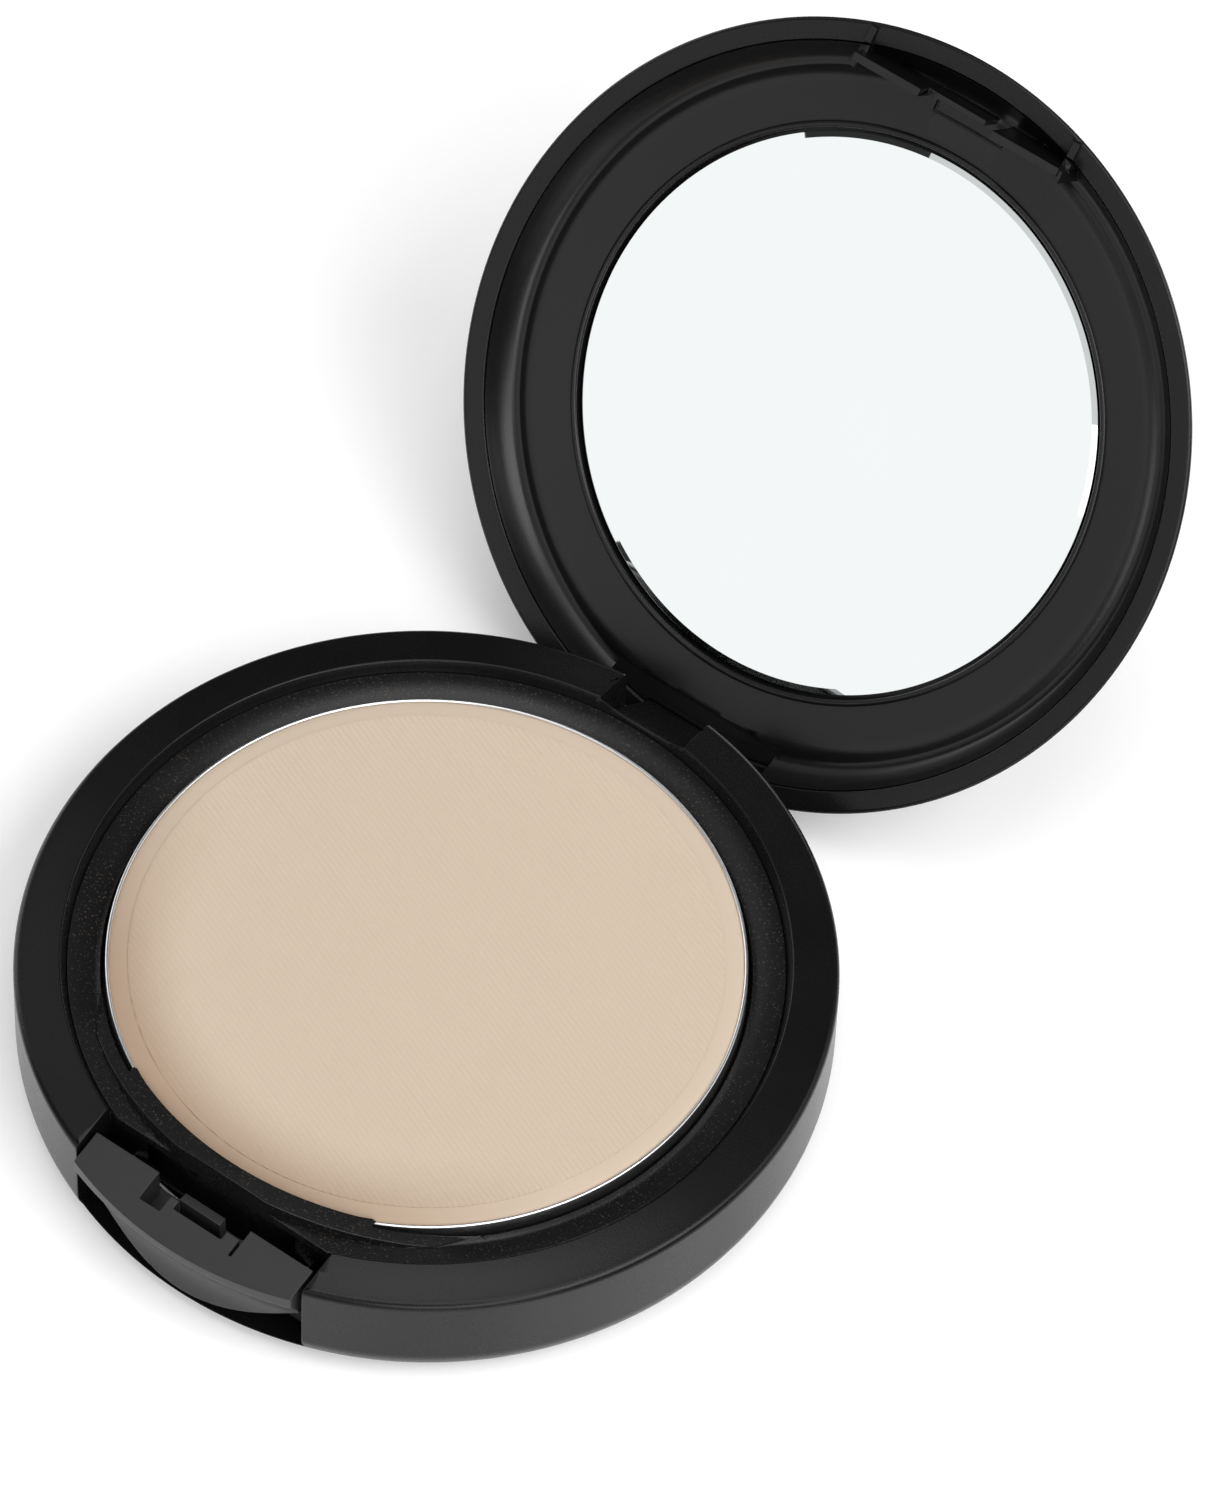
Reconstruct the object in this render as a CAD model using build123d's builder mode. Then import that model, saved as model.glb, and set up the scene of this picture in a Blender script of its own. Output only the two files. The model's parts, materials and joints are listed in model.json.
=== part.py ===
"""Powder compact, open at its stop, as separate pieces.

The origin is the centre of the underside. +Z is up, the latch is at -Y and the hinge at +Y.
The lid is drawn as if closed, on its own planes, and those planes stand open on the hinge line.
All sizes are in millimetres.
"""

import os
from math import atan2, cos, degrees, radians, sin, sqrt

from build123d import *

# ---- base body ----
base_radius = 37.9
base_edge_height = 11.8  # outer edge of the sloping top ring
base_foot_radius = 3.8  # rounding between the wall and the underside
base_edge_round = 0.8
base_wall = 1.7
ring_inner_radius = base_radius - 4.3
ring_inner_height = base_edge_height + 0.7
ring_thickness = 1.9
step_radius = ring_inner_radius - 0.55  # foot of the step between ring and deck
skirt_wall = 1.5
skirt_foot_height = 5.5
floor_flange = 2.0
cover_radius = base_radius - 4.5
cover_thickness = 1.2
cover_rib_radius = 22.0
cover_rib_wall = 1.2
label_radius = 24.0
label_recess = 0.3
label_thickness = 0.15

# ---- tray, pan and powder ----
deck_height = 11.4
deck_thickness = 1.0
deck_bevel = 0.6
pan_radius = 29.5
deck_inner_radius = pan_radius + 1.7
pan_height = 5.0
pan_sheet = 0.35
pan_floor_round = 1.2
pan_stand = 0.65  # pan rim above the deck
well_wall = 1.0
well_floor = 1.2
glue_thickness = 0.15
glue_radius = pan_radius - 4.5
powder_border = 4.0  # smooth border round the ribbed field
powder_crown = 0.35
powder_edge_drop = 0.25  # powder edge below the pan rim
lip_inner_radius = pan_radius - 0.3  # raised lip over the front of the pan
lip_height = deck_height + 1.8
lip_half_span = pan_radius * 0.746
lip_gap = 0.2

# ---- hinge ----
hinge_y = base_radius - 3.3
hinge_z = 7.65
open_angle = 130.2  # closed to stop
pin_diameter = 1.0
pin_left = -10.0
pin_right = 14.0
knuckle_radius = 1.2
lug_width = 9.2
hinge_block_half = 11.6

# ---- latch ----
pocket_width = 25.5
pocket_chord = base_radius - 7.1  # inner wall of the pocket, from the centre
button_width = pocket_width - 0.9
button_back = base_radius - 4.65
button_reach = base_radius + 0.85  # top lip of the button, from the centre
button_top_inner = 11.75
button_top_outer = 10.75
button_bottom = 2.2
button_travel = 0.6
button_scoop = 1.3
ear_overhang = 1.3
ear_thickness = 1.1
ear_bottom = 3.0
ear_top = 8.2
spring_sheet = 0.25
spring_height = 3.2
spring_span = 20.0
spring_z = 5.6

# ---- lid, as closed ----
lid_radius = base_radius - 0.3
lid_rim_height = 12.2  # outer edge of the flat rim
lid_rim_bevel = 0.33
lid_edge_height = 12.42  # where the round side starts
lid_rim_inner_radius = lid_radius - 2.45
lid_rim_inner_height = 12.5
lid_corner_radius = 9.0
lid_wall = 1.1
lid_top_height = 19.05
lid_crown = 0.45
lid_floor_height = lid_top_height - 1.6
liner_radius = lid_rim_inner_radius - 0.1
liner_edge_height = 12.6
liner_sheet = 0.75
cove_share_out = 0.634  # how far out and down the middle of the cove's curve is
cove_share_down = 0.414
cove_floor_radius = liner_radius - 2.05
cove_floor_height = lid_floor_height - 1.95
frame_crest_radius = cove_floor_radius - 1.1  # where the slope turns into the cove
frame_crest_height = lid_floor_height - 2.45
frame_inner_height = frame_crest_height + 0.65
bead_radius = 0.32
bead_height = frame_crest_height + 0.35
mirror_radius = 26.45
mirror_glass = 1.35
mirror_face_height = lid_floor_height - mirror_glass - 0.2
mirror_bevel = 0.55
mirror_bevel_depth = 0.1
mark_radius = frame_crest_radius - 0.9
mark_width = 7.8
mark_height = 1.9
mark_line = 0.16
mark_depth = 0.07
pad_radius = mirror_radius - 1.95
slot_half_width = 9.2  # gap in the lid's rim beside the lug
slot_height = 15.4
slot_inner_y = hinge_y - 3.5
lug_back_y = hinge_y + 0.6  # outer face of the lug at its root
lug_back_z = 15.9

# ---- catch bar in the lid, as closed ----
catch_bar_wall = 0.85
catch_half_width = 11.4
catch_rib_wall = 0.85
catch_rib_reach = lid_radius - 2.5
catch_rib_length = 1.9  # end ribs on the rim, before they are cut round inside
catch_rib_height = 11.95  # where the end ribs cross the rim
catch_tip_height = 10.3
catch_mid_height = 12.3
catch_gap_half = 4.0
catch_slit = 1.6

# ---- clearances ----
fit_gap = 0.1
slide_gap = 0.15
pin_gap = 0.05
press_gap = 0.01
lug_gap = 0.15
stop_gap = 0.12

# ---- places that follow from the sizes above ----
pan_rim_height = deck_height + pan_stand
pan_foot_height = pan_rim_height - pan_height
well_floor_height = pan_foot_height - glue_thickness
tray_foot_height = well_floor_height - well_floor
well_radius = pan_radius + 4 * fit_gap
tray_radius = step_radius - fit_gap / 2
ledge_height = deck_height - deck_thickness
skirt_inner_radius = well_radius + well_wall + 1.0
skirt_outer_radius = skirt_inner_radius + skirt_wall
wall_inner_radius = base_radius - base_wall
ring_underside = base_edge_height - ring_thickness
pocket_half = pocket_width / 2
button_half = button_width / 2
notch_half = lug_width / 2 + lug_gap
notch_inner_y = hinge_y - knuckle_radius - lug_gap
lug_inner_y = hinge_y - knuckle_radius
block_wall = 2.4
pocket_wall = 1.2
ear_half = button_half + ear_overhang
channel_half = ear_half + slide_gap
channel_top = ear_top + 2 * slide_gap
ear_front_y = -(button_back + ear_thickness / 2)
ear_back_y = ear_front_y + ear_thickness
catch_outer = button_back - button_travel - fit_gap
corner_y = lid_radius - lid_corner_radius
corner_z = lid_top_height - lid_corner_radius
lid_edge_radius = corner_y + sqrt(lid_corner_radius**2 - (lid_edge_height - corner_z) ** 2)
lid_rim_radius = lid_edge_radius - lid_rim_bevel
inner_corner = lid_corner_radius - lid_wall
floor_edge_radius = corner_y + sqrt(inner_corner**2 - (lid_floor_height - corner_z) ** 2)
wall_foot_height = corner_z + sqrt(inner_corner**2 - (lid_rim_inner_radius - corner_y) ** 2)

# Planes of the lid, opened about the hinge line by open_angle from closed.
tilt = radians(open_angle)
lid_origin = (
    0,
    hinge_y - hinge_y * cos(tilt) - hinge_z * sin(tilt),
    hinge_z + hinge_y * sin(tilt) - hinge_z * cos(tilt),
)
lid_up = (0, sin(tilt), cos(tilt))
lid_plan = Plane(origin=lid_origin, x_dir=(1, 0, 0), z_dir=lid_up)
lid_section = Plane(origin=lid_origin, x_dir=(1, 0, 0), z_dir=-lid_plan.y_dir)
lid_side = Plane(origin=lid_origin, x_dir=lid_plan.y_dir, z_dir=(1, 0, 0))
lid_axis = Axis(lid_plan.origin, lid_plan.z_dir)


def opened(y, z):
    """Give the place, in the upright Y-Z plane, that a closed-lid point takes when open."""
    across, above = y - hinge_y, z - hinge_z
    return (
        hinge_y + across * cos(tilt) + above * sin(tilt),
        hinge_z - across * sin(tilt) + above * cos(tilt),
    )


# ---- base_rim: wall, top ring and skirt, with hinge blocks, notch and latch pocket ----
with BuildPart() as base_rim:
    with BuildSketch(Plane.XZ):
        with BuildLine():
            Polyline(
                (cover_radius + fit_gap, 0),
                (base_radius, 0),
                (base_radius, base_edge_height),
                (base_radius - base_edge_round, base_edge_height),
                (ring_inner_radius, ring_inner_height),
                (step_radius, deck_height),
                (step_radius, ledge_height),
                (skirt_inner_radius, ledge_height),
                (skirt_inner_radius, skirt_foot_height),
                (skirt_outer_radius, skirt_foot_height),
                (skirt_outer_radius, ring_underside),
                (wall_inner_radius, ring_underside),
                (wall_inner_radius, floor_flange),
                (cover_radius - 1.0, floor_flange),
                (cover_radius - 1.0, cover_thickness),
                (cover_radius + fit_gap, cover_thickness),
                close=True,
            )
        make_face()
    revolve(axis=Axis.Z)
    foot_edge = base_rim.edges().filter_by(GeomType.CIRCLE).filter_by(
        lambda e: abs(e.radius - base_radius) < 0.01
    )
    fillet(foot_edge.sort_by(Axis.Z)[0], base_foot_radius)
    fillet(foot_edge.sort_by(Axis.Z)[-1], base_edge_round * 0.9)
    # Solid blocks in the hollow under the ring carry the pin and flank the pocket.
    with BuildSketch(Plane.XY.offset(floor_flange)):
        with BuildSketch(Plane.XY.offset(floor_flange), mode=Mode.PRIVATE) as hollow:
            Circle(wall_inner_radius)
            Circle(skirt_outer_radius, mode=Mode.SUBTRACT)
        Rectangle(2 * hinge_block_half, base_radius, align=(Align.CENTER, Align.MIN))
        Rectangle(
            2 * (channel_half + block_wall), base_radius, align=(Align.CENTER, Align.MAX)
        )
        add(hollow.sketch, mode=Mode.INTERSECT)
    extrude(amount=ring_underside - floor_flange)
    # Low wall that closes the pocket towards the middle, under the tray.
    with BuildSketch(Plane.XY.offset(floor_flange)):
        with Locations((0, -pocket_chord)):
            Rectangle(2 * (channel_half + 1), pocket_wall, align=(Align.CENTER, Align.MIN))
    extrude(amount=tray_foot_height - fit_gap - floor_flange)
    # Latch pocket, open at the front and top, with a channel each side for the button's ears.
    with BuildSketch(Plane.XY.offset(floor_flange)):
        with Locations((0, -pocket_chord)):
            Rectangle(pocket_width, base_radius, align=(Align.CENTER, Align.MAX))
    extrude(amount=ring_inner_height, mode=Mode.SUBTRACT)
    with BuildSketch(Plane.XY.offset(floor_flange)):
        with Locations((0, -pocket_chord)):
            Rectangle(
                2 * channel_half,
                -ear_front_y - pocket_chord + slide_gap / 3,
                align=(Align.CENTER, Align.MAX),
            )
    extrude(amount=channel_top - floor_flange, mode=Mode.SUBTRACT)
    # Hinge notch: room for the lug, and a floor that the open lug's outer face rests near.
    with BuildSketch(Plane.YZ):
        knee = opened(hinge_y + knuckle_radius, hinge_z)
        toe = opened(lid_rim_radius, lid_rim_height)
        brow = opened(lid_edge_radius, lid_edge_height)
        heel = opened(lug_back_y, lug_back_z)
        with BuildLine():
            Polyline(
                (notch_inner_y, ring_inner_height + 1),
                (notch_inner_y, knee[1] - stop_gap),
                (knee[0] - stop_gap, knee[1] - stop_gap),
                (toe[0] - stop_gap, toe[1] - stop_gap),
                (brow[0] - stop_gap, brow[1] - stop_gap),
                (heel[0] - stop_gap, heel[1] - stop_gap),
                (heel[0] - stop_gap, ring_inner_height + 1),
                close=True,
            )
        make_face()
    extrude(amount=notch_half, both=True, mode=Mode.SUBTRACT)
    # Pin bore, open at the right where the pin goes in and blind at the left.
    with BuildSketch(Plane.YZ.offset(pin_left - press_gap)):
        with Locations((hinge_y, hinge_z)):
            Circle(pin_diameter / 2 + press_gap)
    extrude(amount=base_radius, mode=Mode.SUBTRACT)
base_rim.part.label = "base_rim"

# ---- base_plate: bottom cover with a label recess and the rib that carries the tray ----
with BuildPart() as base_plate:
    with BuildSketch():
        Circle(cover_radius)
    extrude(amount=cover_thickness)
    with BuildSketch(Plane.XY.offset(cover_thickness)):
        Circle(cover_radius - 1.0 - fit_gap)
    extrude(amount=floor_flange - cover_thickness)
    with BuildSketch(Plane.XY.offset(floor_flange)):
        Circle(cover_rib_radius + cover_rib_wall)
        Circle(cover_rib_radius, mode=Mode.SUBTRACT)
    extrude(amount=tray_foot_height - floor_flange)
    with BuildSketch():
        Circle(label_radius + fit_gap)
    extrude(amount=label_recess, mode=Mode.SUBTRACT)
base_plate.part.label = "base_plate"

# ---- base_label: blank disc stuck in the recess ----
with BuildPart() as base_label:
    with BuildSketch(Plane.XY.offset(label_recess - label_thickness)):
        Circle(label_radius)
    extrude(amount=label_thickness)
base_label.part.label = "base_label"

# ---- pan_tray: deck and pan well, cut off square at the latch pocket ----
with BuildPart() as pan_tray:
    with BuildSketch(Plane.XZ):
        with BuildLine():
            Polyline(
                (0, tray_foot_height),
                (well_radius + well_wall, tray_foot_height),
                (well_radius + well_wall, ledge_height),
                (tray_radius, ledge_height),
                (tray_radius, deck_height),
                (deck_inner_radius, deck_height),
                (well_radius, deck_height - deck_bevel),
                (well_radius, well_floor_height),
                (0, well_floor_height),
                close=True,
            )
        make_face()
    revolve(axis=Axis.Z)
    # Raised lip at the front, highest in the middle, that the pan's rim slides under.
    with BuildPart(mode=Mode.PRIVATE) as front_lip:
        with BuildSketch(Plane.XY.offset(ledge_height)):
            Circle(deck_inner_radius)
            Circle(well_radius, mode=Mode.SUBTRACT)
            with Locations((0, -base_radius / 2)):
                Rectangle(2 * lip_half_span, base_radius, mode=Mode.INTERSECT)
        extrude(amount=lip_height - ledge_height)
        with BuildSketch(Plane.XY.offset(pan_rim_height + lip_gap)):
            Circle(deck_inner_radius)
            Circle(lip_inner_radius, mode=Mode.SUBTRACT)
            with Locations((0, -base_radius / 2)):
                Rectangle(2 * lip_half_span, base_radius, mode=Mode.INTERSECT)
        extrude(amount=lip_height - pan_rim_height - lip_gap)
        with BuildSketch(Plane.XZ):
            with BuildLine():
                lip_end = deck_height - deck_bevel
                brow_line = ThreePointArc(
                    (-lip_half_span, lip_end), (0, lip_height), (lip_half_span, lip_end)
                )
                Polyline(
                    brow_line @ 1,
                    (lip_half_span, lip_height + 1),
                    (-lip_half_span, lip_height + 1),
                    brow_line @ 0,
                )
            make_face()
        extrude(amount=base_radius, mode=Mode.SUBTRACT)
    add(front_lip.part)
    with BuildSketch(Plane.XY.offset(tray_foot_height)):
        with Locations((0, -pocket_chord)):
            Rectangle(2 * base_radius, base_radius, align=(Align.CENTER, Align.MAX))
    extrude(amount=lip_height, mode=Mode.SUBTRACT)
pan_tray.part.label = "pan_tray"

# ---- pan_adhesive ----
with BuildPart() as pan_adhesive:
    with BuildSketch(Plane.XY.offset(well_floor_height)):
        Circle(glue_radius)
    extrude(amount=glue_thickness)
pan_adhesive.part.label = "pan_adhesive"

# ---- powder_pan: pressed metal dish ----
with BuildPart() as powder_pan:
    with BuildSketch(Plane.XY.offset(pan_foot_height)):
        Circle(pan_radius)
    extrude(amount=pan_height)
    pan_foot_edge = powder_pan.edges().filter_by(GeomType.CIRCLE).sort_by(Axis.Z)[0]
    fillet(pan_foot_edge, pan_floor_round)
    offset(amount=-pan_sheet, openings=powder_pan.faces().sort_by(Axis.Z)[-1])
powder_pan.part.label = "powder_pan"

# ---- powder_cake: fills the pan, with a slightly raised field ----
with BuildPart() as powder_cake:
    powder_radius = pan_radius - pan_sheet
    powder_floor = pan_foot_height + pan_sheet
    powder_edge_height = pan_rim_height - powder_edge_drop
    corner = pan_floor_round - pan_sheet
    with BuildSketch(Plane.XZ):
        with BuildLine():
            floor_line = Line((0, powder_floor), (powder_radius - corner, powder_floor))
            bend = RadiusArc(
                floor_line @ 1, (powder_radius, powder_floor + corner), -corner
            )
            side = Line(bend @ 1, (powder_radius, powder_edge_height))
            shoulder = ThreePointArc(
                side @ 1,
                (powder_radius - 1.2, powder_edge_height + 0.75 * powder_crown),
                (powder_radius - powder_border, powder_edge_height + powder_crown),
            )
            top = Line(shoulder @ 1, (0, powder_edge_height + powder_crown))
            Line(top @ 1, floor_line @ 0)
        make_face()
    revolve(axis=Axis.Z)
powder_cake.part.label = "powder_cake"

# ---- hinge_pin ----
with BuildPart() as hinge_pin:
    with BuildSketch(Plane.YZ.offset(pin_left)):
        with Locations((hinge_y, hinge_z)):
            Circle(pin_diameter / 2)
    extrude(amount=pin_right - pin_left)
    chamfer(hinge_pin.edges().filter_by(GeomType.CIRCLE), 0.12)
hinge_pin.part.label = "hinge_pin"

# ---- latch_button: thumb front, top plate with a sprung tongue and hook tab, ears behind ----
with BuildPart() as latch_button:
    button_corner_y = -(button_reach - 0.75)
    with BuildSketch(Plane.XY.offset(button_bottom)):
        with BuildLine():
            lip = ThreePointArc(
                (-button_half, button_corner_y + 1.35),
                (0, -button_reach),
                (button_half, button_corner_y + 1.35),
            )
            Polyline(
                lip @ 1, (button_half, -button_back), (-button_half, -button_back), lip @ 0
            )
        make_face()
    extrude(amount=button_top_inner - button_bottom)
    # The top falls away from the inner edge to the lip.
    with BuildSketch(Plane.YZ):
        with BuildLine():
            Polyline(
                (-button_back, button_top_inner),
                (-button_reach - 1, button_top_outer - 0.2),
                (-button_reach - 1, button_top_inner + 1),
                (-button_back, button_top_inner + 1),
                close=True,
            )
        make_face()
    extrude(amount=pocket_width, both=True, mode=Mode.SUBTRACT)
    # The front is scooped below the lip for the finger.
    with BuildSketch(Plane.XZ):
        with BuildLine():
            scoop = ThreePointArc(
                (base_radius - 0.5, button_bottom - 0.3),
                (button_reach - button_scoop - 0.4, 6.0),
                (button_reach + 0.2, button_top_outer - 0.7),
            )
            Polyline(
                scoop @ 1, (base_radius + 4, button_top_outer), (base_radius + 4, 0), scoop @ 0
            )
        make_face()
    revolve(axis=Axis.Z, mode=Mode.SUBTRACT)
    # The lower edge of the front rises in an arc towards both ends.
    with BuildSketch(Plane.XZ.offset(button_back)):
        with BuildLine():
            smile = ThreePointArc(
                (-button_half - 1, ear_top), (0, button_bottom), (button_half + 1, ear_top)
            )
            Polyline(smile @ 1, (button_half + 1, 0), (-button_half - 1, 0), smile @ 0)
        make_face()
    extrude(amount=base_radius, mode=Mode.SUBTRACT)
    # Back plate with the ears that stop the button in its channels.
    with BuildSketch(Plane.XY.offset(ear_bottom)):
        with Locations((0, ear_front_y)):
            Rectangle(2 * ear_half, ear_thickness, align=(Align.CENTER, Align.MIN))
    extrude(amount=ear_top - ear_bottom)
    # Notch and slit that free the tongue, and the window under its hook tab.
    with BuildSketch(Plane.XY.offset(ear_top)):
        with Locations((-3.95, -button_back)):
            Rectangle(2.3, 3.0, align=(Align.CENTER, Align.MAX))
        with Locations((5.1, -button_back)):
            Rectangle(0.3, 3.0, align=(Align.CENTER, Align.MAX))
        with Locations((-2.8, -button_back)):
            Rectangle(7.8, 1.25, align=(Align.MIN, Align.MAX))
        with Locations((-1.9, -button_back - 1.25)):
            Rectangle(5.4, 0.9, align=(Align.MIN, Align.MAX))
    extrude(amount=button_top_inner, mode=Mode.SUBTRACT)
    # Hook tab, standing in the window on the inner side of its slot.
    with BuildSketch(Plane.XY.offset(ear_top - 0.6)):
        with Locations((-2.0, -button_back - 0.2)):
            Rectangle(4.6, 0.95, align=(Align.MIN, Align.MAX))
    extrude(amount=button_top_inner - ear_top + 0.35)
latch_button.part.label = "latch_button"

# ---- latch_spring: bowed strip between the pocket's inner wall and the button ----
with BuildPart() as latch_spring:
    bow_back_y = -pocket_chord - spring_sheet - fit_gap / 2
    bow_front_y = ear_back_y + fit_gap / 2
    with BuildSketch(Plane.XY.offset(spring_z - spring_height / 2)):
        with BuildLine():
            outer_bow = ThreePointArc(
                (-spring_span / 2, bow_back_y), (0, bow_front_y), (spring_span / 2, bow_back_y)
            )
            inner_bow = ThreePointArc(
                (-spring_span / 2, bow_back_y + spring_sheet),
                (0, bow_front_y + spring_sheet),
                (spring_span / 2, bow_back_y + spring_sheet),
            )
            Line(outer_bow @ 0, inner_bow @ 0)
            Line(outer_bow @ 1, inner_bow @ 1)
        make_face()
    extrude(amount=spring_height)
latch_spring.part.label = "latch_spring"

# ---- lid_shell: domed cover, flat rim and hinge lug ----
with BuildPart() as lid_shell:
    crown_radius = (corner_y**2 + lid_crown**2) / (2 * lid_crown)
    with BuildSketch(lid_section):
        with BuildLine():
            ceiling = Line((0, lid_floor_height), (floor_edge_radius, lid_floor_height))
            hollow_turn = RadiusArc(
                ceiling @ 1, (lid_rim_inner_radius, wall_foot_height), inner_corner
            )
            edge = Polyline(
                hollow_turn @ 1,
                (lid_rim_inner_radius, lid_rim_inner_height),
                (lid_rim_radius, lid_rim_height),
                (lid_edge_radius, lid_edge_height),
            )
            turn = RadiusArc(edge @ 1, (corner_y, lid_top_height), -lid_corner_radius)
            crown = RadiusArc(turn @ 1, (0, lid_top_height + lid_crown), -crown_radius)
            Line(crown @ 1, ceiling @ 0)
        make_face()
    revolve(axis=lid_axis)
    # Gap in the rim at the rear, which clears the base wall when the lid is open.
    with BuildSketch(lid_plan.offset(lid_rim_height - 1)):
        with Locations((0, slot_inner_y)):
            Rectangle(2 * slot_half_width, lid_radius, align=(Align.CENTER, Align.MIN))
    extrude(amount=slot_height - lid_rim_height + 1, mode=Mode.SUBTRACT)
    # Hinge lug, from the lid's floor down to the pin.
    with BuildSketch(lid_side):
        with BuildLine():
            Polyline(
                (lug_inner_y, lid_floor_height - 0.5),
                (lug_inner_y, hinge_z),
                (hinge_y + knuckle_radius, hinge_z),
                (lid_rim_radius, lid_rim_height),
                (lid_edge_radius - fit_gap, lid_edge_height),
                (lug_back_y, lug_back_z),
                (lug_inner_y + 0.3, lid_floor_height - 0.5),
                close=True,
            )
        make_face()
        with Locations((hinge_y, hinge_z)):
            Circle(knuckle_radius)
    extrude(amount=lug_width / 2, both=True)
    with BuildSketch(lid_side):
        with Locations((hinge_y, hinge_z)):
            Circle(pin_diameter / 2 + pin_gap)
    extrude(amount=lug_width, both=True, mode=Mode.SUBTRACT)
    # Low ribs across the rim, in line with the ends of the catch bar.
    with BuildSketch(lid_plan.offset(catch_rib_height)):
        for side_sign in (-1, 1):
            with Locations((side_sign * catch_half_width, -catch_rib_reach)):
                Rectangle(catch_rib_wall, catch_rib_length, align=(Align.CENTER, Align.MIN))
        Circle(lid_rim_inner_radius, mode=Mode.SUBTRACT)
    extrude(amount=lid_rim_inner_height - catch_rib_height + 0.4)
lid_shell.part.label = "lid_shell"

# ---- mirror_frame: liner of the lid, with a bead, a slope, the cove and the catch bar ----
with BuildPart() as mirror_frame:
    frame_inner_radius = mirror_radius + 4 * fit_gap
    bead_centre = frame_inner_radius + bead_radius
    liner_heel_height = wall_foot_height - fit_gap
    slope = atan2(
        frame_inner_height - frame_crest_height, frame_crest_radius - bead_centre - bead_radius
    )
    with BuildSketch(lid_section):
        with BuildLine():
            face_line = Polyline(
                (floor_edge_radius - fit_gap, lid_floor_height),
                (frame_inner_radius, lid_floor_height),
                (frame_inner_radius, bead_height + bead_radius),
                (bead_centre + bead_radius, bead_height + bead_radius),
                (bead_centre + bead_radius, frame_inner_height),
                (frame_crest_radius, frame_crest_height),
                (cove_floor_radius, cove_floor_height),
            )
            cove = ThreePointArc(
                face_line @ 1,
                (
                    cove_floor_radius + cove_share_out * (liner_radius - cove_floor_radius),
                    cove_floor_height - cove_share_down * (cove_floor_height - liner_edge_height),
                ),
                (liner_radius, liner_edge_height),
            )
            Polyline(
                cove @ 1,
                (liner_radius, liner_heel_height),
                (cove_floor_radius + 0.2, cove_floor_height + liner_sheet),
                face_line @ 0,
            )
        make_face()
        with Locations((bead_centre, bead_height + bead_radius)):
            Circle(bead_radius)
    revolve(axis=lid_axis)
    crest_edge = mirror_frame.edges().filter_by(GeomType.CIRCLE).filter_by(
        lambda e: abs(e.radius - frame_crest_radius) < 0.01
    )
    fillet(crest_edge, 1.0)
    # Catch bar across the cove: two deep arms, a shallow middle with a slit, and end ribs.
    catch_root = cove_floor_height + liner_sheet / 2
    arm_width = catch_half_width - catch_gap_half
    with BuildSketch(lid_plan.offset(catch_tip_height)):
        for side_sign in (-1, 1):
            with Locations((side_sign * (catch_gap_half + arm_width / 2), -catch_outer)):
                Rectangle(arm_width, catch_bar_wall, align=(Align.CENTER, Align.MIN))
    extrude(amount=catch_root - catch_tip_height)
    with BuildSketch(lid_plan.offset(catch_mid_height)):
        with Locations((-catch_gap_half, -catch_outer)):
            Rectangle(
                2 * catch_gap_half - catch_slit, catch_bar_wall * 0.7, align=Align.MIN
            )
    extrude(amount=catch_root - catch_mid_height)
    with BuildSketch(lid_plan.offset(catch_tip_height + 0.4)):
        for side_sign in (-1, 1):
            with Locations((side_sign * catch_half_width, -catch_outer)):
                Rectangle(catch_rib_wall, 1.5, align=(Align.CENTER, Align.MIN))
    extrude(amount=catch_root - catch_tip_height - 0.4)
    with BuildSketch(lid_plan.offset(catch_rib_height)):
        with BuildSketch(lid_plan.offset(catch_rib_height), mode=Mode.PRIVATE) as inside:
            Circle(liner_radius)
        for side_sign in (-1, 1):
            with Locations((side_sign * catch_half_width, -liner_radius)):
                Rectangle(
                    catch_rib_wall, liner_radius - catch_outer, align=(Align.CENTER, Align.MIN)
                )
        add(inside.sketch, mode=Mode.INTERSECT)
    extrude(amount=liner_edge_height + 1 - catch_rib_height)
    # The roots of the bar are trimmed flush with the back of the liner.
    with BuildSketch(lid_section):
        with BuildLine():
            Polyline(
                (floor_edge_radius - fit_gap, lid_floor_height),
                (cove_floor_radius + 0.2, cove_floor_height + liner_sheet),
                (liner_radius, liner_heel_height),
                (liner_radius, catch_tip_height),
                (lid_radius, catch_tip_height),
                (lid_radius, lid_floor_height),
                close=True,
            )
        make_face()
    revolve(axis=lid_axis, mode=Mode.SUBTRACT)
    # The rim's gap goes on through the cove, and a square opening lets the lug pass.
    with BuildSketch(lid_plan.offset(lid_rim_height - 1)):
        with Locations((0, slot_inner_y)):
            Rectangle(2 * slot_half_width, lid_radius, align=(Align.CENTER, Align.MIN))
    extrude(amount=slot_height - lid_rim_height + 1, mode=Mode.SUBTRACT)
    with BuildSketch(lid_plan.offset(lid_rim_height)):
        with Locations((0, lug_inner_y - lug_gap)):
            Rectangle(2 * notch_half, lid_radius, align=(Align.CENTER, Align.MIN))
    extrude(amount=lid_floor_height, mode=Mode.SUBTRACT)
    # Faint square outline on the slope behind the catch.
    mark_z = frame_crest_height + (frame_crest_radius - mark_radius) * sin(slope)
    mark_face = Plane(
        origin=(0, *opened(-mark_radius, mark_z)),
        x_dir=(1, 0, 0),
        z_dir=(0, sin(tilt - slope), cos(tilt - slope)),
    )
    with BuildSketch(mark_face.offset(-1)):
        Rectangle(mark_width, mark_height)
        Rectangle(mark_width - 2 * mark_line, mark_height - 2 * mark_line, mode=Mode.SUBTRACT)
    extrude(amount=1 + mark_depth, mode=Mode.SUBTRACT)
mirror_frame.part.label = "mirror_frame"

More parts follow.
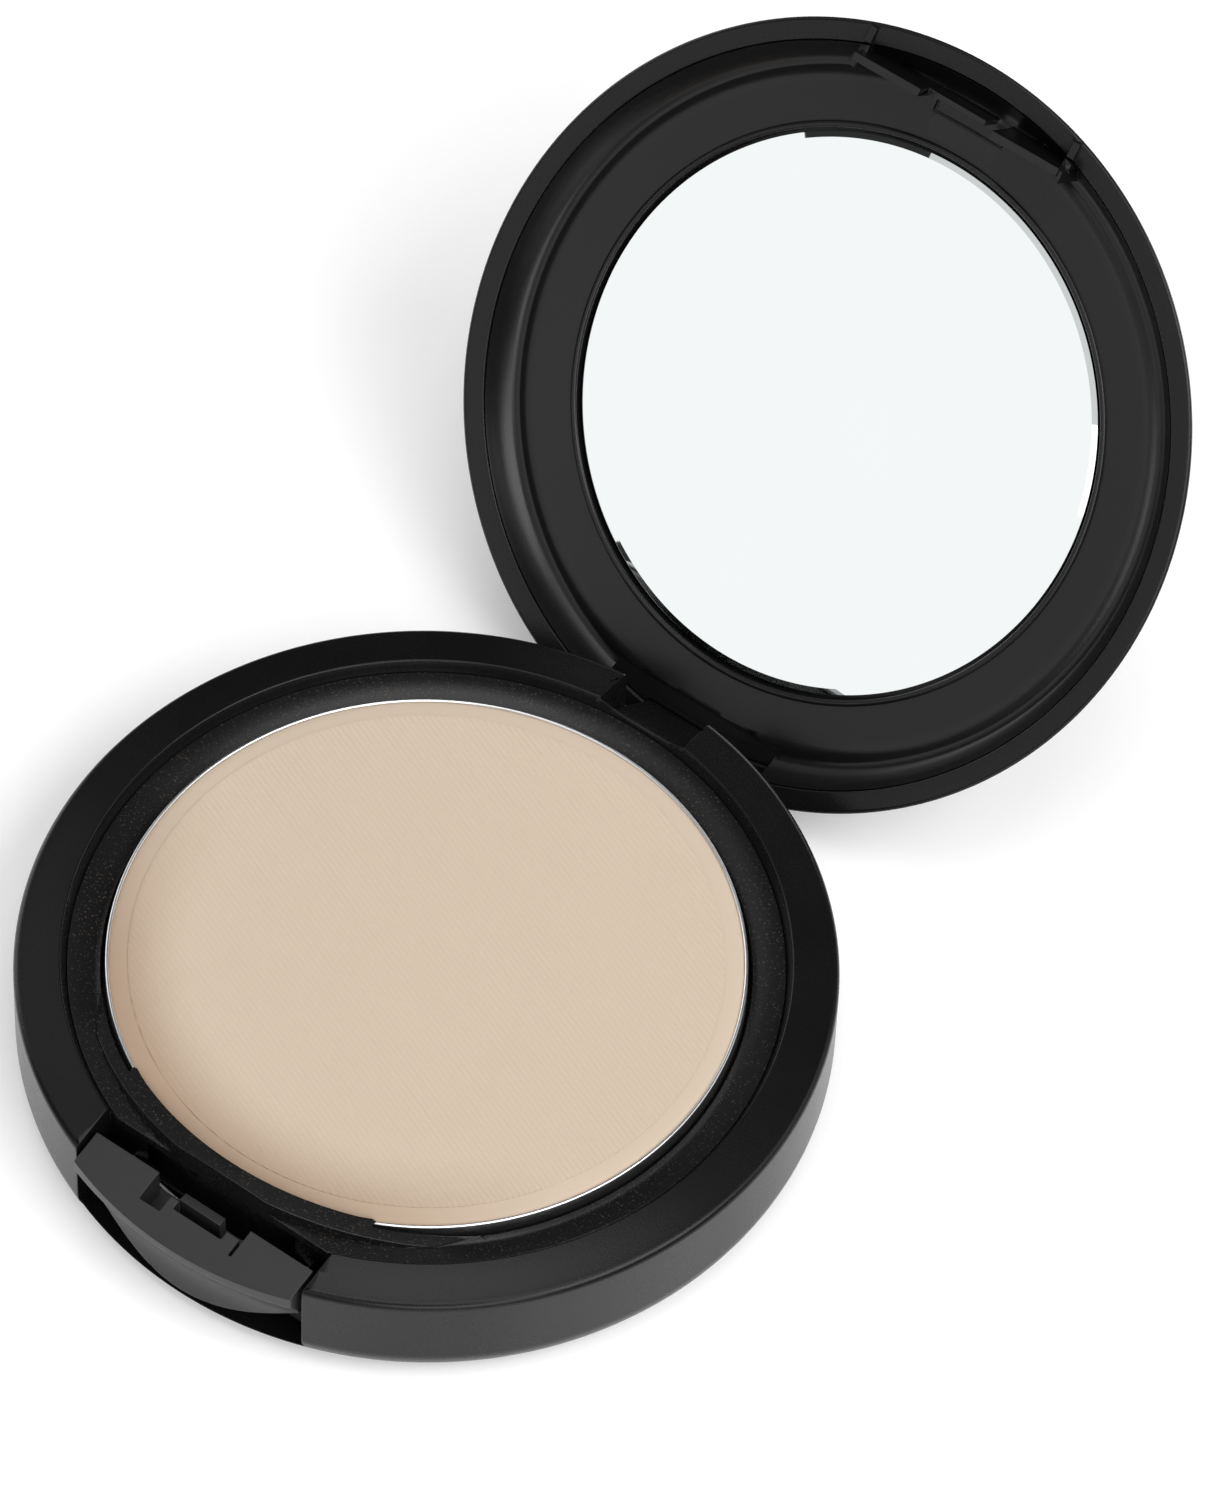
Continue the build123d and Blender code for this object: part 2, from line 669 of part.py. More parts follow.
# ---- mirror: glass disc with a bevelled edge ----
with BuildPart() as mirror:
    with BuildSketch(lid_plan.offset(mirror_face_height)):
        Circle(mirror_radius)
    extrude(amount=mirror_glass)
    face_edge = mirror.edges().filter_by(GeomType.CIRCLE).sort_by(lid_axis)[0]
    chamfer(face_edge, length=mirror_bevel_depth, length2=mirror_bevel)
mirror.part.label = "mirror"

# ---- mirror_adhesive ----
with BuildPart() as mirror_adhesive:
    with BuildSketch(lid_plan.offset(mirror_face_height + mirror_glass)):
        Circle(pad_radius)
    extrude(amount=lid_floor_height - mirror_face_height - mirror_glass)
mirror_adhesive.part.label = "mirror_adhesive"

os.makedirs("parts", exist_ok=True)
export_step(base_rim.part, "parts/base_rim.step")
export_step(base_plate.part, "parts/base_plate.step")
export_step(base_label.part, "parts/base_label.step")
export_step(pan_tray.part, "parts/pan_tray.step")
export_step(pan_adhesive.part, "parts/pan_adhesive.step")
export_step(powder_pan.part, "parts/powder_pan.step")
export_step(powder_cake.part, "parts/powder_cake.step")
export_step(hinge_pin.part, "parts/hinge_pin.step")
export_step(latch_button.part, "parts/latch_button.step")
export_step(latch_spring.part, "parts/latch_spring.step")
export_step(lid_shell.part, "parts/lid_shell.step")
export_step(mirror_frame.part, "parts/mirror_frame.step")
export_step(mirror.part, "parts/mirror.step")
export_step(mirror_adhesive.part, "parts/mirror_adhesive.step")
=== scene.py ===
"""Looks of the powder compact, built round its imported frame.

The base pieces are modelled in place. The lid pieces are modelled shut, then turned open
about the hinge, as the frame's own lid is. Sizes in the classes are millimetres.
"""

import json
import logging
import math
from dataclasses import dataclass, field
from enum import Enum
from itertools import pairwise
from typing import Any, Iterable, Iterator, Sequence

import bpy
from mathutils import Matrix, Vector


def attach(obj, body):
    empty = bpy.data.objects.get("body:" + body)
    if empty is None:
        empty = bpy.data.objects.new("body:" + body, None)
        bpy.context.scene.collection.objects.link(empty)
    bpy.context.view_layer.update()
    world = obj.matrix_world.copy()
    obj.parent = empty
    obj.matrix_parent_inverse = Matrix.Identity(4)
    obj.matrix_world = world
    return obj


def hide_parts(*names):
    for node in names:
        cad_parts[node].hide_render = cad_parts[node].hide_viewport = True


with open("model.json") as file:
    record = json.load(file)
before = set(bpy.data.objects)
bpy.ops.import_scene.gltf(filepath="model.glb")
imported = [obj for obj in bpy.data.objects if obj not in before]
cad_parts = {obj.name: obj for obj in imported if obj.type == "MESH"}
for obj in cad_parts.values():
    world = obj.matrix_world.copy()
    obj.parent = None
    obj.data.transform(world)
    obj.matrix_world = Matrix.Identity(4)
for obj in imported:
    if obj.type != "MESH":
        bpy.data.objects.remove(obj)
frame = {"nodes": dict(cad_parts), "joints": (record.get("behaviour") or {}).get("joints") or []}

MM = 0.001
LOG = logging.getLogger("compact")
Point = tuple[float, float]
Triple = tuple[float, float, float]
Outline = list[Point]

# The shut lid's rear edge in its side view, as Y and height: the base's notch follows it.
LUG_TOE: Point = (36.95, 12.2)
LUG_BROW: Point = (37.28, 12.42)
LUG_HEEL: Point = (35.2, 15.9)
LUG_KNUCKLE = 1.2


class Body(Enum):
    """The bodies of the frame that a piece can ride on."""

    BASE = "base"
    LID = "lid"
    BUTTON = "button"


class Slot(Enum):
    """The record's material slots."""

    SHELL = "black_shell"
    INNER = "black_inner"
    TRAY = "black_tray"
    BUTTON = "black_button"
    PAPER = "label_paper"
    GLUE = "adhesive"
    PAN = "pan_metal"
    POWDER = "powder"
    STEEL = "steel"
    MIRROR = "mirror_glass"


class Cut(Enum):
    """How one solid changes another."""

    TAKE = "DIFFERENCE"
    JOIN = "UNION"
    KEEP = "INTERSECT"


# ---------------------------------------------------------------- shader tools


class Wire:
    """A value socket that adds Math nodes when it meets an operator."""

    def __init__(self, desk: "NodeDesk", socket: Any) -> None:
        """Hold an output socket, or None, and the desk whose tree it is in."""
        self.desk = desk
        self.socket = socket

    def _join(self, operation: str, first: Any, second: Any) -> "Wire":
        """Add one Math node with a value or a wire at each input."""
        return self.desk.node("ShaderNodeMath", {"operation": operation}, {0: first, 1: second})

    def __add__(self, other: Any) -> "Wire":
        """Add."""
        return self._join("ADD", self, other)

    def __sub__(self, other: Any) -> "Wire":
        """Subtract."""
        return self._join("SUBTRACT", self, other)

    def __mul__(self, other: Any) -> "Wire":
        """Multiply."""
        return self._join("MULTIPLY", self, other)

    def __gt__(self, other: Any) -> "Wire":
        """Give 1 where greater, otherwise 0."""
        return self._join("GREATER_THAN", self, other)


class NodeDesk:
    """One material's node tree, with one method that adds every node."""

    def __init__(self, name: str) -> None:
        """Make the material and empty its tree.

        Args:
            name: The material's name.
        """
        self.material = bpy.data.materials.new(name)
        self.material.use_nodes = True
        self.tree = self.material.node_tree
        self.tree.nodes.clear()

    def node(
        self,
        kind: str,
        settings: dict[str, Any] | None = None,
        inputs: dict[Any, Any] | None = None,
        output: str | int = 0,
    ) -> Wire:
        """Add a node.

        Args:
            kind: The node's type.
            settings: Properties that are set first.
            inputs: Values or wires, by socket name or number.
            output: The output socket's name or number.

        Returns:
            The chosen output as a wire.
        """
        made = self.tree.nodes.new(kind)
        for key, value in (settings or {}).items():
            setattr(made, key, value)
        for key, value in (inputs or {}).items():
            if isinstance(value, Wire):
                self.tree.links.new(value.socket, made.inputs[key])
            else:
                made.inputs[key].default_value = value
        return Wire(self, made.outputs[output] if len(made.outputs) else None)

    def coordinates(self) -> Wire:
        """Give the piece's own coordinates."""
        return self.node("ShaderNodeTexCoord", output="Object")

    def noise(self, size_mm: float, detail: float) -> Wire:
        """Add a noise, about 0 to 1, whose features have a real size.

        Args:
            size_mm: The features' size.
            detail: The noise's detail.

        Returns:
            The noise value.
        """
        inputs = {"Vector": self.coordinates(), "Scale": 1.0 / (size_mm * MM)}
        inputs |= {"Detail": detail, "Roughness": 0.55}
        return self.node("ShaderNodeTexNoise", {"noise_dimensions": "3D"}, inputs, "Fac")

    def blend(self, share: Any, first: Any, second: Any) -> Wire:
        """Mix two colours, by the share of the second."""
        return self.node("ShaderNodeMix", {"data_type": "RGBA"}, {0: share, 6: first, 7: second}, 2)

    def bump(self, height: Wire, depth_mm: float) -> Wire:
        """Turn a height of about 0 to 1 into a normal."""
        return self.node("ShaderNodeBump", {}, {"Height": height, "Distance": depth_mm * MM})

    def vector(
        self, operation: str, first: Wire, second: Any = None, output: str | int = 0
    ) -> Wire:
        """Add one Vector Math node.

        Args:
            operation: The node's operation.
            first: Its first vector.
            second: Its second vector, or None.
            output: The output socket's name or number.

        Returns:
            The chosen output.
        """
        inputs = {0: first} if second is None else {0: first, 1: second}
        return self.node("ShaderNodeVectorMath", {"operation": operation}, inputs, output)

    def ease(self, value: Wire, low_mm: float, high_mm: float) -> Wire:
        """Rise smoothly from 0 to 1 between two distances.

        Args:
            value: The distance.
            low_mm: Where it is still 0.
            high_mm: Where it reaches 1.

        Returns:
            The share.
        """
        return self.node(
            "ShaderNodeMapRange",
            {"clamp": True, "interpolation_type": "SMOOTHSTEP"},
            {0: value, 1: low_mm * MM, 2: high_mm * MM, 3: 0.0, 4: 1.0},
        )

    def finish(self, inputs: dict[str, Any]) -> bpy.types.Material:
        """Add the surface and the output.

        Args:
            inputs: The Principled BSDF's values and wires, by socket name.

        Returns:
            The finished material.
        """
        surface = self.node("ShaderNodeBsdfPrincipled", {}, inputs)
        self.node("ShaderNodeOutputMaterial", {}, {"Surface": surface})
        return self.material


def rgba(red: float, green: float, blue: float) -> tuple[float, float, float, float]:
    """Give a colour its alpha."""
    return (red, green, blue, 1.0)


# ------------------------------------------------------------------- finishes


@dataclass(frozen=True)
class MouldedPlastic:
    """Moulded black plastic with a fine spark-eroded grain."""

    name: str
    shade: float
    roughness: float
    grain_mm: float = 0.16
    grain_depth_mm: float = 0.010
    dust: float = 0.0
    tint: float = 1.04
    shine: float = 0.34
    handling_mm: float = 9.0
    speck_mm: float = 0.22
    speck_level: float = 0.715
    patch_mm: float = 6.0
    dust_colour: Triple = (0.30, 0.22, 0.16)

    def make(self) -> bpy.types.Material:
        """Build the material.

        Returns:
            The material.
        """
        desk = NodeDesk(self.name)
        grain = desk.noise(self.grain_mm, 2.0)
        handling = desk.noise(self.handling_mm, 3.0)
        dark = rgba(self.shade, self.shade, self.shade * self.tint)
        light = self.shade * 1.35 + 0.001
        colour = desk.blend(handling, dark, rgba(light, light, light * self.tint))
        if self.dust:
            specks = desk.noise(self.speck_mm, 0.0) > self.speck_level
            patches = desk.noise(self.patch_mm, 1.0)
            colour = desk.blend(specks * patches * self.dust, colour, rgba(*self.dust_colour))
        rough = handling * 0.07 + grain * 0.05 + (self.roughness - 0.06)
        return desk.finish(
            {
                "Base Color": colour,
                "Roughness": rough,
                "IOR": 1.49,
                "Specular IOR Level": self.shine,
                "Normal": desk.bump(grain, self.grain_depth_mm),
            }
        )


@dataclass(frozen=True)
class PressedPowder:
    """Face powder: fine, matt, with faint clouds and a darker warm border at the front left, which is
    painted shade.
    """

    name: str = "pressed_powder_face"
    colour: Triple = (0.565, 0.463, 0.362)
    # Colour of the painted shade on the front-left border.
    painted_shade_colour: Triple = (0.36, 0.25, 0.175)
    field_mm: float = 21.0
    edge_mm: float = 29.0
    shade_toward: Triple = (-0.30, -0.95, 0.0)
    shade_from_mm: float = 2.0
    shade_to_mm: float = 28.0

    def make(self) -> bpy.types.Material:
        """Build the material.

        Returns:
            The material.
        """
        desk = NodeDesk(self.name)
        place = desk.coordinates()
        grit = desk.noise(0.11, 2.0)
        clouds = desk.noise(7.0, 2.0)
        flat = desk.vector("MULTIPLY", place, (1.0, 1.0, 0.0))
        border = desk.ease(desk.vector("LENGTH", flat, output="Value"), self.field_mm, self.edge_mm)
        # Painted shade: the border darkens towards the front left, where it slopes away from the
        # light.
        toward = desk.vector("DOT_PRODUCT", place, self.shade_toward, "Value")
        painted_shade = desk.ease(toward, self.shade_from_mm, self.shade_to_mm)
        share = border * painted_shade * 0.9 + clouds * 0.10 + grit * 0.10 - 0.10
        colour = desk.blend(share, rgba(*self.colour), rgba(*self.painted_shade_colour))
        return desk.finish(
            {
                "Base Color": colour,
                "Roughness": grit * 0.08 + 0.84,
                "Specular IOR Level": 0.25,
                "Normal": desk.bump(grit, 0.012),
            }
        )


@dataclass(frozen=True)
class MarkedSheet:
    """A sheet whose colour, roughness and surface follow one fine noise."""

    name: str
    colour: Triple
    roughness: float
    mark_mm: float
    detail: float
    dulled: float
    spread: float
    depth_mm: float
    metallic: float

    def make(self) -> bpy.types.Material:
        """Build the material.

        Returns:
            The material.
        """
        desk = NodeDesk(self.name)
        marks = desk.noise(self.mark_mm, self.detail)
        dull = tuple(part * self.dulled for part in self.colour)
        return desk.finish(
            {
                "Base Color": desk.blend(marks, rgba(*dull), rgba(*self.colour)),
                "Metallic": self.metallic,
                "Roughness": marks * self.spread + (self.roughness - self.spread / 2.0),
                "Normal": desk.bump(marks, self.depth_mm),
            }
        )


@dataclass(frozen=True)
class SheetMetal(MarkedSheet):
    """Drawn or ground metal with fine marks."""

    mark_mm: float = 0.35
    detail: float = 3.0
    dulled: float = 0.82
    spread: float = 0.12
    depth_mm: float = 0.002
    metallic: float = 1.0


@dataclass(frozen=True)
class PulpedSheet(MarkedSheet):
    """Paper or an adhesive film, with fibres or small bubbles."""

    detail: float = 4.0
    dulled: float = 0.9
    spread: float = 0.1
    depth_mm: float = 0.01
    metallic: float = 0.0


@dataclass(frozen=True)
class SilveredGlass:
    """Silvered mirror glass, with a faint green in it and the least haze."""

    name: str = "silvered_glass"
    colour: Triple = (0.83, 0.86, 0.86)

    def make(self) -> bpy.types.Material:
        """Build the material.

        Returns:
            The material.
        """
        desk = NodeDesk(self.name)
        haze = desk.noise(14.0, 2.0)
        faded = tuple(part * 0.985 for part in self.colour)
        return desk.finish(
            {
                "Base Color": desk.blend(haze, rgba(*faded), rgba(*self.colour)),
                "Metallic": 1.0,
                "Roughness": haze * 0.012 + 0.008,
            }
        )


@dataclass(frozen=True)
class StudioFloor:
    """White acrylic table: matt underneath with a thin gloss."""

    name: str = "white_table"

    def make(self) -> bpy.types.Material:
        """Build the material.

        Returns:
            The material.
        """
        desk = NodeDesk(self.name)
        cast = desk.noise(300.0, 1.0)
        return desk.finish(
            {
                "Base Color": desk.blend(cast, rgba(0.90, 0.90, 0.90), rgba(0.92, 0.92, 0.92)),
                "Roughness": cast * 0.02 + 0.05,
                "IOR": 1.45,
                "Specular IOR Level": 0.8,
                "Emission Color": rgba(1.0, 1.0, 1.0),
                "Emission Strength": 0.22,
            }
        )


# -------------------------------------------------------------- modelling tools


class Bench:
    """Hand tools. Each works on the piece it is given and leaves object mode on."""

    @staticmethod
    def clear() -> None:
        """Deselect everything."""
        if bpy.context.object and bpy.context.object.mode != "OBJECT":
            bpy.ops.object.mode_set(mode="OBJECT")
        bpy.ops.object.select_all(action="DESELECT")

    @classmethod
    def hold(cls, piece: bpy.types.Object) -> None:
        """Select one piece alone and make it active.

        Args:
            piece: The piece.
        """
        cls.clear()
        piece.select_set(True)
        bpy.context.view_layer.objects.active = piece

    @classmethod
    def settle(cls, piece: bpy.types.Object) -> bpy.types.Object:
        """Put a piece's place, turn and size in its mesh.

        Args:
            piece: The piece.

        Returns:
            The same piece.
        """
        cls.hold(piece)
        bpy.ops.object.transform_apply(location=True, rotation=True, scale=True)
        return piece

    @classmethod
    def close(cls, piece: bpy.types.Object) -> bpy.types.Object:
        """Merge doubled points and turn the faces outwards.

        Args:
            piece: The piece.

        Returns:
            The same piece.
        """
        cls.hold(piece)
        bpy.ops.object.mode_set(mode="EDIT")
        bpy.ops.mesh.select_all(action="SELECT")
        bpy.ops.mesh.remove_doubles(threshold=0.002 * MM)
        bpy.ops.mesh.normals_make_consistent(inside=False)
        bpy.ops.object.mode_set(mode="OBJECT")
        return piece

    @classmethod
    def lathe(
        cls,
        name: str,
        outline: Sequence[tuple[float, float]],
        steps: int = 288,
        solid: bool = False,
    ) -> bpy.types.Object:
        """Turn an outline round the upright axis, ring by ring.

        Args:
            name: The piece's name.
            outline: Radius and height of each ring. A solid's last radius may be 0.
            steps: Sides of each ring.
            solid: True closes both ends at the axis; False joins the last ring to the first.

        Returns:
            The turned piece.
        """
        cls.clear()
        radius, height = outline[0]
        bpy.ops.mesh.primitive_circle_add(
            vertices=steps,
            radius=radius * MM,
            fill_type="TRIFAN" if solid else "NOTHING",
            location=(0.0, 0.0, height * MM),
        )
        piece = bpy.context.object
        piece.name = name
        cls.settle(piece)
        bpy.ops.object.mode_set(mode="EDIT")
        bpy.ops.mesh.select_mode(type="EDGE")
        bpy.ops.mesh.select_all(action="SELECT")
        if solid:
            bpy.ops.mesh.region_to_loop()
        path = list(outline) if solid else [*outline, outline[0]]
        for (wide, low), (narrow, high) in pairwise(path):
            bpy.ops.mesh.extrude_region_move(
                TRANSFORM_OT_translate={"value": (0.0, 0.0, (high - low) * MM)}
            )
            share = narrow / wide
            bpy.ops.transform.resize(value=(share, share, 1.0), center_override=(0, 0, 0))
        bpy.ops.object.mode_set(mode="OBJECT")
        return cls.close(piece)

    @classmethod
    def prism(
        cls, name: str, outline: Sequence[Vector], push: Sequence[float]
    ) -> bpy.types.Object:
        """Draw an outline point by point, fill it and push it to a thickness.

        Args:
            name: The piece's name.
            outline: The corners, in millimetres.
            push: How far the face is pushed, in millimetres.

        Returns:
            The prism.
        """
        cls.clear()
        corners = [Vector(corner) * MM for corner in outline]
        bpy.ops.mesh.primitive_plane_add(size=MM, location=corners[0])
        piece = bpy.context.object
        piece.name = name
        cls.settle(piece)
        bpy.ops.object.mode_set(mode="EDIT")
        bpy.ops.mesh.select_mode(type="VERT")
        bpy.ops.mesh.select_all(action="SELECT")
        bpy.ops.mesh.merge(type="CENTER")
        for start, end in pairwise([*corners, corners[0]]):
            bpy.ops.mesh.extrude_vertices_move(
                TRANSFORM_OT_translate={"value": end - start}
            )
        bpy.ops.mesh.select_all(action="SELECT")
        bpy.ops.mesh.remove_doubles(threshold=0.001 * MM)
        bpy.ops.mesh.edge_face_add()
        bpy.ops.mesh.select_all(action="SELECT")
        bpy.ops.mesh.extrude_region_move(
            TRANSFORM_OT_translate={"value": Vector(push) * MM}
        )
        bpy.ops.object.mode_set(mode="OBJECT")
        return cls.close(piece)

    @classmethod
    def block(
        cls, name: str, low: Triple, high: Triple
    ) -> bpy.types.Object:
        """Make a square block between two corners.

        Args:
            name: The piece's name.
            low: Its lowest corner, in millimetres.
            high: Its highest corner, in millimetres.

        Returns:
            The block.
        """
        (left, near, foot), (right, far, top) = low, high
        ends = ((left, near), (right, near), (right, far), (left, far))
        return cls.prism(name, [Vector((x, y, foot)) for x, y in ends], (0.0, 0.0, top - foot))

    @classmethod
    def across(cls, name: str, side: Iterable[Point], half: float) -> bpy.types.Object:
        """Push a side view, given as Y and height, across the middle by half each way."""
        return cls.prism(name, [Vector((-half, y, z)) for y, z in side], (2.0 * half, 0.0, 0.0))

    @classmethod
    def work(
        cls, piece: bpy.types.Object, tool: bpy.types.Object, how: Cut
    ) -> bpy.types.Object:
        """Change one solid with another, which is used up.

        Args:
            piece: The solid that stays.
            tool: The solid that is used up.
            how: What the tool does.

        Returns:
            The piece.
        """
        cls.hold(piece)
        step = piece.modifiers.new("work", "BOOLEAN")
        step.operation = how.value
        step.solver = "EXACT"
        step.object = tool
        bpy.ops.object.modifier_apply(modifier=step.name)
        spare = tool.data
        bpy.data.objects.remove(tool)
        bpy.data.meshes.remove(spare)
        return piece

    @classmethod
    def chop(
        cls, piece: bpy.types.Object, how: Cut, name: str, low: Triple, high: Triple
    ) -> bpy.types.Object:
        """Change a solid with a square block between two corners."""
        return cls.work(piece, cls.block(name, low, high), how)

    @classmethod
    def soften(
        cls,
        piece: bpy.types.Object,
        width_mm: float,
        segments: int = 2,
        from_degrees: float = 30.0,
    ) -> bpy.types.Object:
        """Round the hard edges, then shade the piece smooth.

        Args:
            piece: The piece.
            width_mm: Width of each rounded edge.
            segments: Steps across it.
            from_degrees: Edges sharper than this are rounded.

        Returns:
            The piece.
        """
        cls.hold(piece)
        bevel = piece.modifiers.new("edges", "BEVEL")
        bevel.width = width_mm * MM
        bevel.segments = segments
        bevel.limit_method = "ANGLE"
        bevel.angle_limit = math.radians(from_degrees)
        bevel.use_clamp_overlap = False
        bevel.miter_outer = "MITER_ARC"
        bpy.ops.object.modifier_apply(modifier=bevel.name)
        cls.close(piece)
        return cls.shade(piece)

    @classmethod
    def shade(cls, piece: bpy.types.Object, degrees: float = 40.0) -> bpy.types.Object:
        """Shade smooth, with wide faces leading the normals.

        Args:
            piece: The piece.
            degrees: Edges sharper than this stay hard.

        Returns:
            The piece.
        """
        cls.hold(piece)
        bpy.ops.object.shade_smooth_by_angle(angle=math.radians(degrees))
        weigh = piece.modifiers.new("normals", "WEIGHTED_NORMAL")
        weigh.keep_sharp = True
        bpy.ops.object.modifier_apply(modifier=weigh.name)
        return piece


def arc(
    centre: tuple[float, float], radius: float, start: float, end: float, count: int
) -> Outline:
    """Give points along an arc in an outline.

    Args:
        centre: Its centre's radius and height.
        radius: Its own radius.
        start: First angle in degrees, 0 pointing outwards and 90 up.
        end: Last angle in degrees.
        count: How many steps it takes.

    Returns:
        The points, both ends included.
    """
    points = []
    for step in range(count + 1):
        turn = math.radians(start + (end - start) * step / count)
        points.append((centre[0] + radius * math.cos(turn), centre[1] + radius * math.sin(turn)))
    return points


def bow(half: float, rise: float, steps: int) -> Outline:
    """Give points along a bow that is highest in its middle, left to right.

    Args:
        half: Half its width.
        rise: Its height.
        steps: How many steps it takes.

    Returns:
        Each point's place across and its distance below the middle.
    """
    radius = (half**2 + rise**2) / (2.0 * rise)
    spread = math.asin(half / radius)
    turns = [-spread + 2.0 * spread * step / steps for step in range(steps + 1)]
    return [(radius * math.sin(turn), radius - radius * math.cos(turn)) for turn in turns]


def through(first: Point, middle: Point, last: Point, steps: int) -> Outline:
    """Give points along the parabola through three points.

    Args:
        first: Where it starts.
        middle: Where it is half way.
        last: Where it ends.
        steps: How many steps it takes.

    Returns:
        The points, both ends included.
    """
    points = []
    for step in range(steps + 1):
        t = step / steps
        start, centre, end = (1 - t) * (1 - 2 * t), 4 * t * (1 - t), t * (2 * t - 1)
        across, up = (
            start * one + centre * two + end * three
            for one, two, three in zip(first, middle, last)
        )
        points.append((across, up))
    return points


def show(
    piece: bpy.types.Object,
    body: Body,
    material: bpy.types.Material,
    nodes: Iterable[str],
) -> bpy.types.Object:
    """Dress a piece, set it riding and let it stand for its CAD nodes.

    Args:
        piece: The piece.
        body: The body that it rides on.
        material: Its finish.
        nodes: The CAD nodes that it stands for.

    Returns:
        The piece.
    """
    piece.data.materials.clear()
    piece.data.materials.append(material)
    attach(piece, body.value)
    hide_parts(*nodes)
    faces = len(piece.data.polygons)
    LOG.info("%s: %d faces, rides on %s", piece.name, faces, body.value)
    return piece


# --------------------------------------------------------------------- hinge


@dataclass(frozen=True)
class Hinge:
    """The hinge line, read from the frame, which carries shut shapes to open ones."""

    y: float
    z: float
    angle: float

    @classmethod
    def from_frame(cls) -> "Hinge":
        """Read the lid's joint.

        Returns:
            The hinge.
        """
        joint = next(j for j in frame["joints"] if j["child"] == Body.LID.value)
        place = joint["pos_m"]
        return cls(place[1] / MM, place[2] / MM, math.radians(joint["range_deg"][1]))

    def matrix(self) -> Matrix:
        """Give the turn from shut to open, in metres."""
        place = Matrix.Translation((0.0, self.y * MM, self.z * MM))
        return place @ Matrix.Rotation(-self.angle, 4, "X") @ place.inverted()

    def opened(self, y: float, z: float) -> tuple[float, float]:
        """Carry a point of the shut lid's side view, in millimetres, to the open lid."""
        moved = self.matrix() @ Vector((0.0, y * MM, z * MM))
        return moved.y / MM, moved.z / MM

    def swing(self, piece: bpy.types.Object) -> bpy.types.Object:
        """Turn a piece that was modelled shut to where the open lid is."""
        piece.matrix_world = self.matrix() @ piece.matrix_world
        return Bench.settle(piece)


# ------------------------------------------------------------------ the base


@dataclass
class BaseBody:
    """Base wall and top ring, with the hinge notch and the latch pocket."""

    radius: float = 37.9
    edge_height: float = 11.8
    edge_round: float = 0.72
    edge_flat: float = 0.35
    edge_rise: float = 0.03
    foot_round: float = 3.8
    ring_radius: float = 33.6
    ring_height: float = 12.5
    ring_knee: Point = (35.6, 12.12)
    step_radius: float = 33.05
    deck_height: float = 11.4
    ledge_height: float = 10.4
    skirt_radius: float = 31.9
    skirt_foot: float = 5.5
    cover_radius: float = 33.5
    cover_wall: float = 1.1
    cover_depth: float = 1.2
    cover_bevel_top: float = 2.0
    pocket_width: float = 25.5
    pocket_chord: float = 30.8
    pocket_floor: float = 2.0
    channel_width: float = 27.5
    channel_depth: float = 33.85
    channel_top: float = 8.5
    wall_side: float = 1.0
    wall_front: float = 0.4
    wall_back: float = 1.2
    wall_foot: float = 1.6
    wall_top: float = 5.6
    notch_half: float = 4.75
    notch_inner: float = 33.25
    gap: float = 0.12
    clear: float = 1.0

    def outline(self) -> Outline:
        """Give the ring's section.

        Returns:
            The section.
        """
        foot = self.radius - self.foot_round
        shoulder = self.radius - self.edge_round
        return [
            (self.cover_radius, 0.0),
            *arc((foot, self.foot_round), self.foot_round, -90.0, 0.0, 14),
            *arc((shoulder, self.edge_height - self.edge_round), self.edge_round, 0.0, 84.0, 6),
            (shoulder - self.edge_flat, self.edge_height + self.edge_rise),
            self.ring_knee,
            (self.ring_radius, self.ring_height),
            (self.step_radius, self.deck_height),
            (self.step_radius, self.ledge_height),
            (self.skirt_radius, self.ledge_height),
            (self.skirt_radius, self.skirt_foot),
            (self.cover_radius - self.cover_wall, self.cover_bevel_top),
            (self.cover_radius - self.cover_wall, self.cover_depth),
            (self.cover_radius, self.cover_depth),
        ]

    def notch(self, hinge: Hinge) -> bpy.types.Object:
        """Make the notch's cutter, whose floor follows the open lug.

        Args:
            hinge: The hinge line.

        Returns:
            The cutter.
        """
        top = self.ring_height + self.clear
        knee, toe, brow, heel = (
            tuple(part - self.gap for part in hinge.opened(*point))
            for point in ((hinge.y + LUG_KNUCKLE, hinge.z), LUG_TOE, LUG_BROW, LUG_HEEL)
        )
        start = [(self.notch_inner, top), (self.notch_inner, knee[1])]
        return Bench.across("notch", [*start, knee, toe, brow, heel, (heel[0], top)], self.notch_half)

    def build(self, hinge: Hinge, finish: MouldedPlastic) -> bpy.types.Object:
        """Model and dress the base body.

        Args:
            hinge: The hinge line.
            finish: Its plastic.

        Returns:
            The piece.
        """
        piece = Bench.lathe("base_body", self.outline())
        half = self.channel_width / 2.0
        chord = -self.pocket_chord
        Bench.chop(
            piece,
            Cut.JOIN,
            "wall",
            (-half - self.wall_side, chord - self.wall_front, self.wall_foot),
            (half + self.wall_side, chord + self.wall_back, self.wall_top),
        )
        Bench.chop(
            piece,
            Cut.TAKE,
            "pocket",
            (-self.pocket_width / 2.0, -self.radius - 2.0 * self.clear, self.pocket_floor),
            (self.pocket_width / 2.0, chord, self.ring_height + self.clear),
        )
        Bench.chop(
            piece,
            Cut.TAKE,
            "channel",
            (-half, -self.channel_depth, self.pocket_floor),
            (half, chord, self.channel_top),
        )
        Bench.work(piece, self.notch(hinge), Cut.TAKE)
        Bench.soften(piece, 0.14)
        return show(piece, Body.BASE, finish.make(), ["base_rim"])


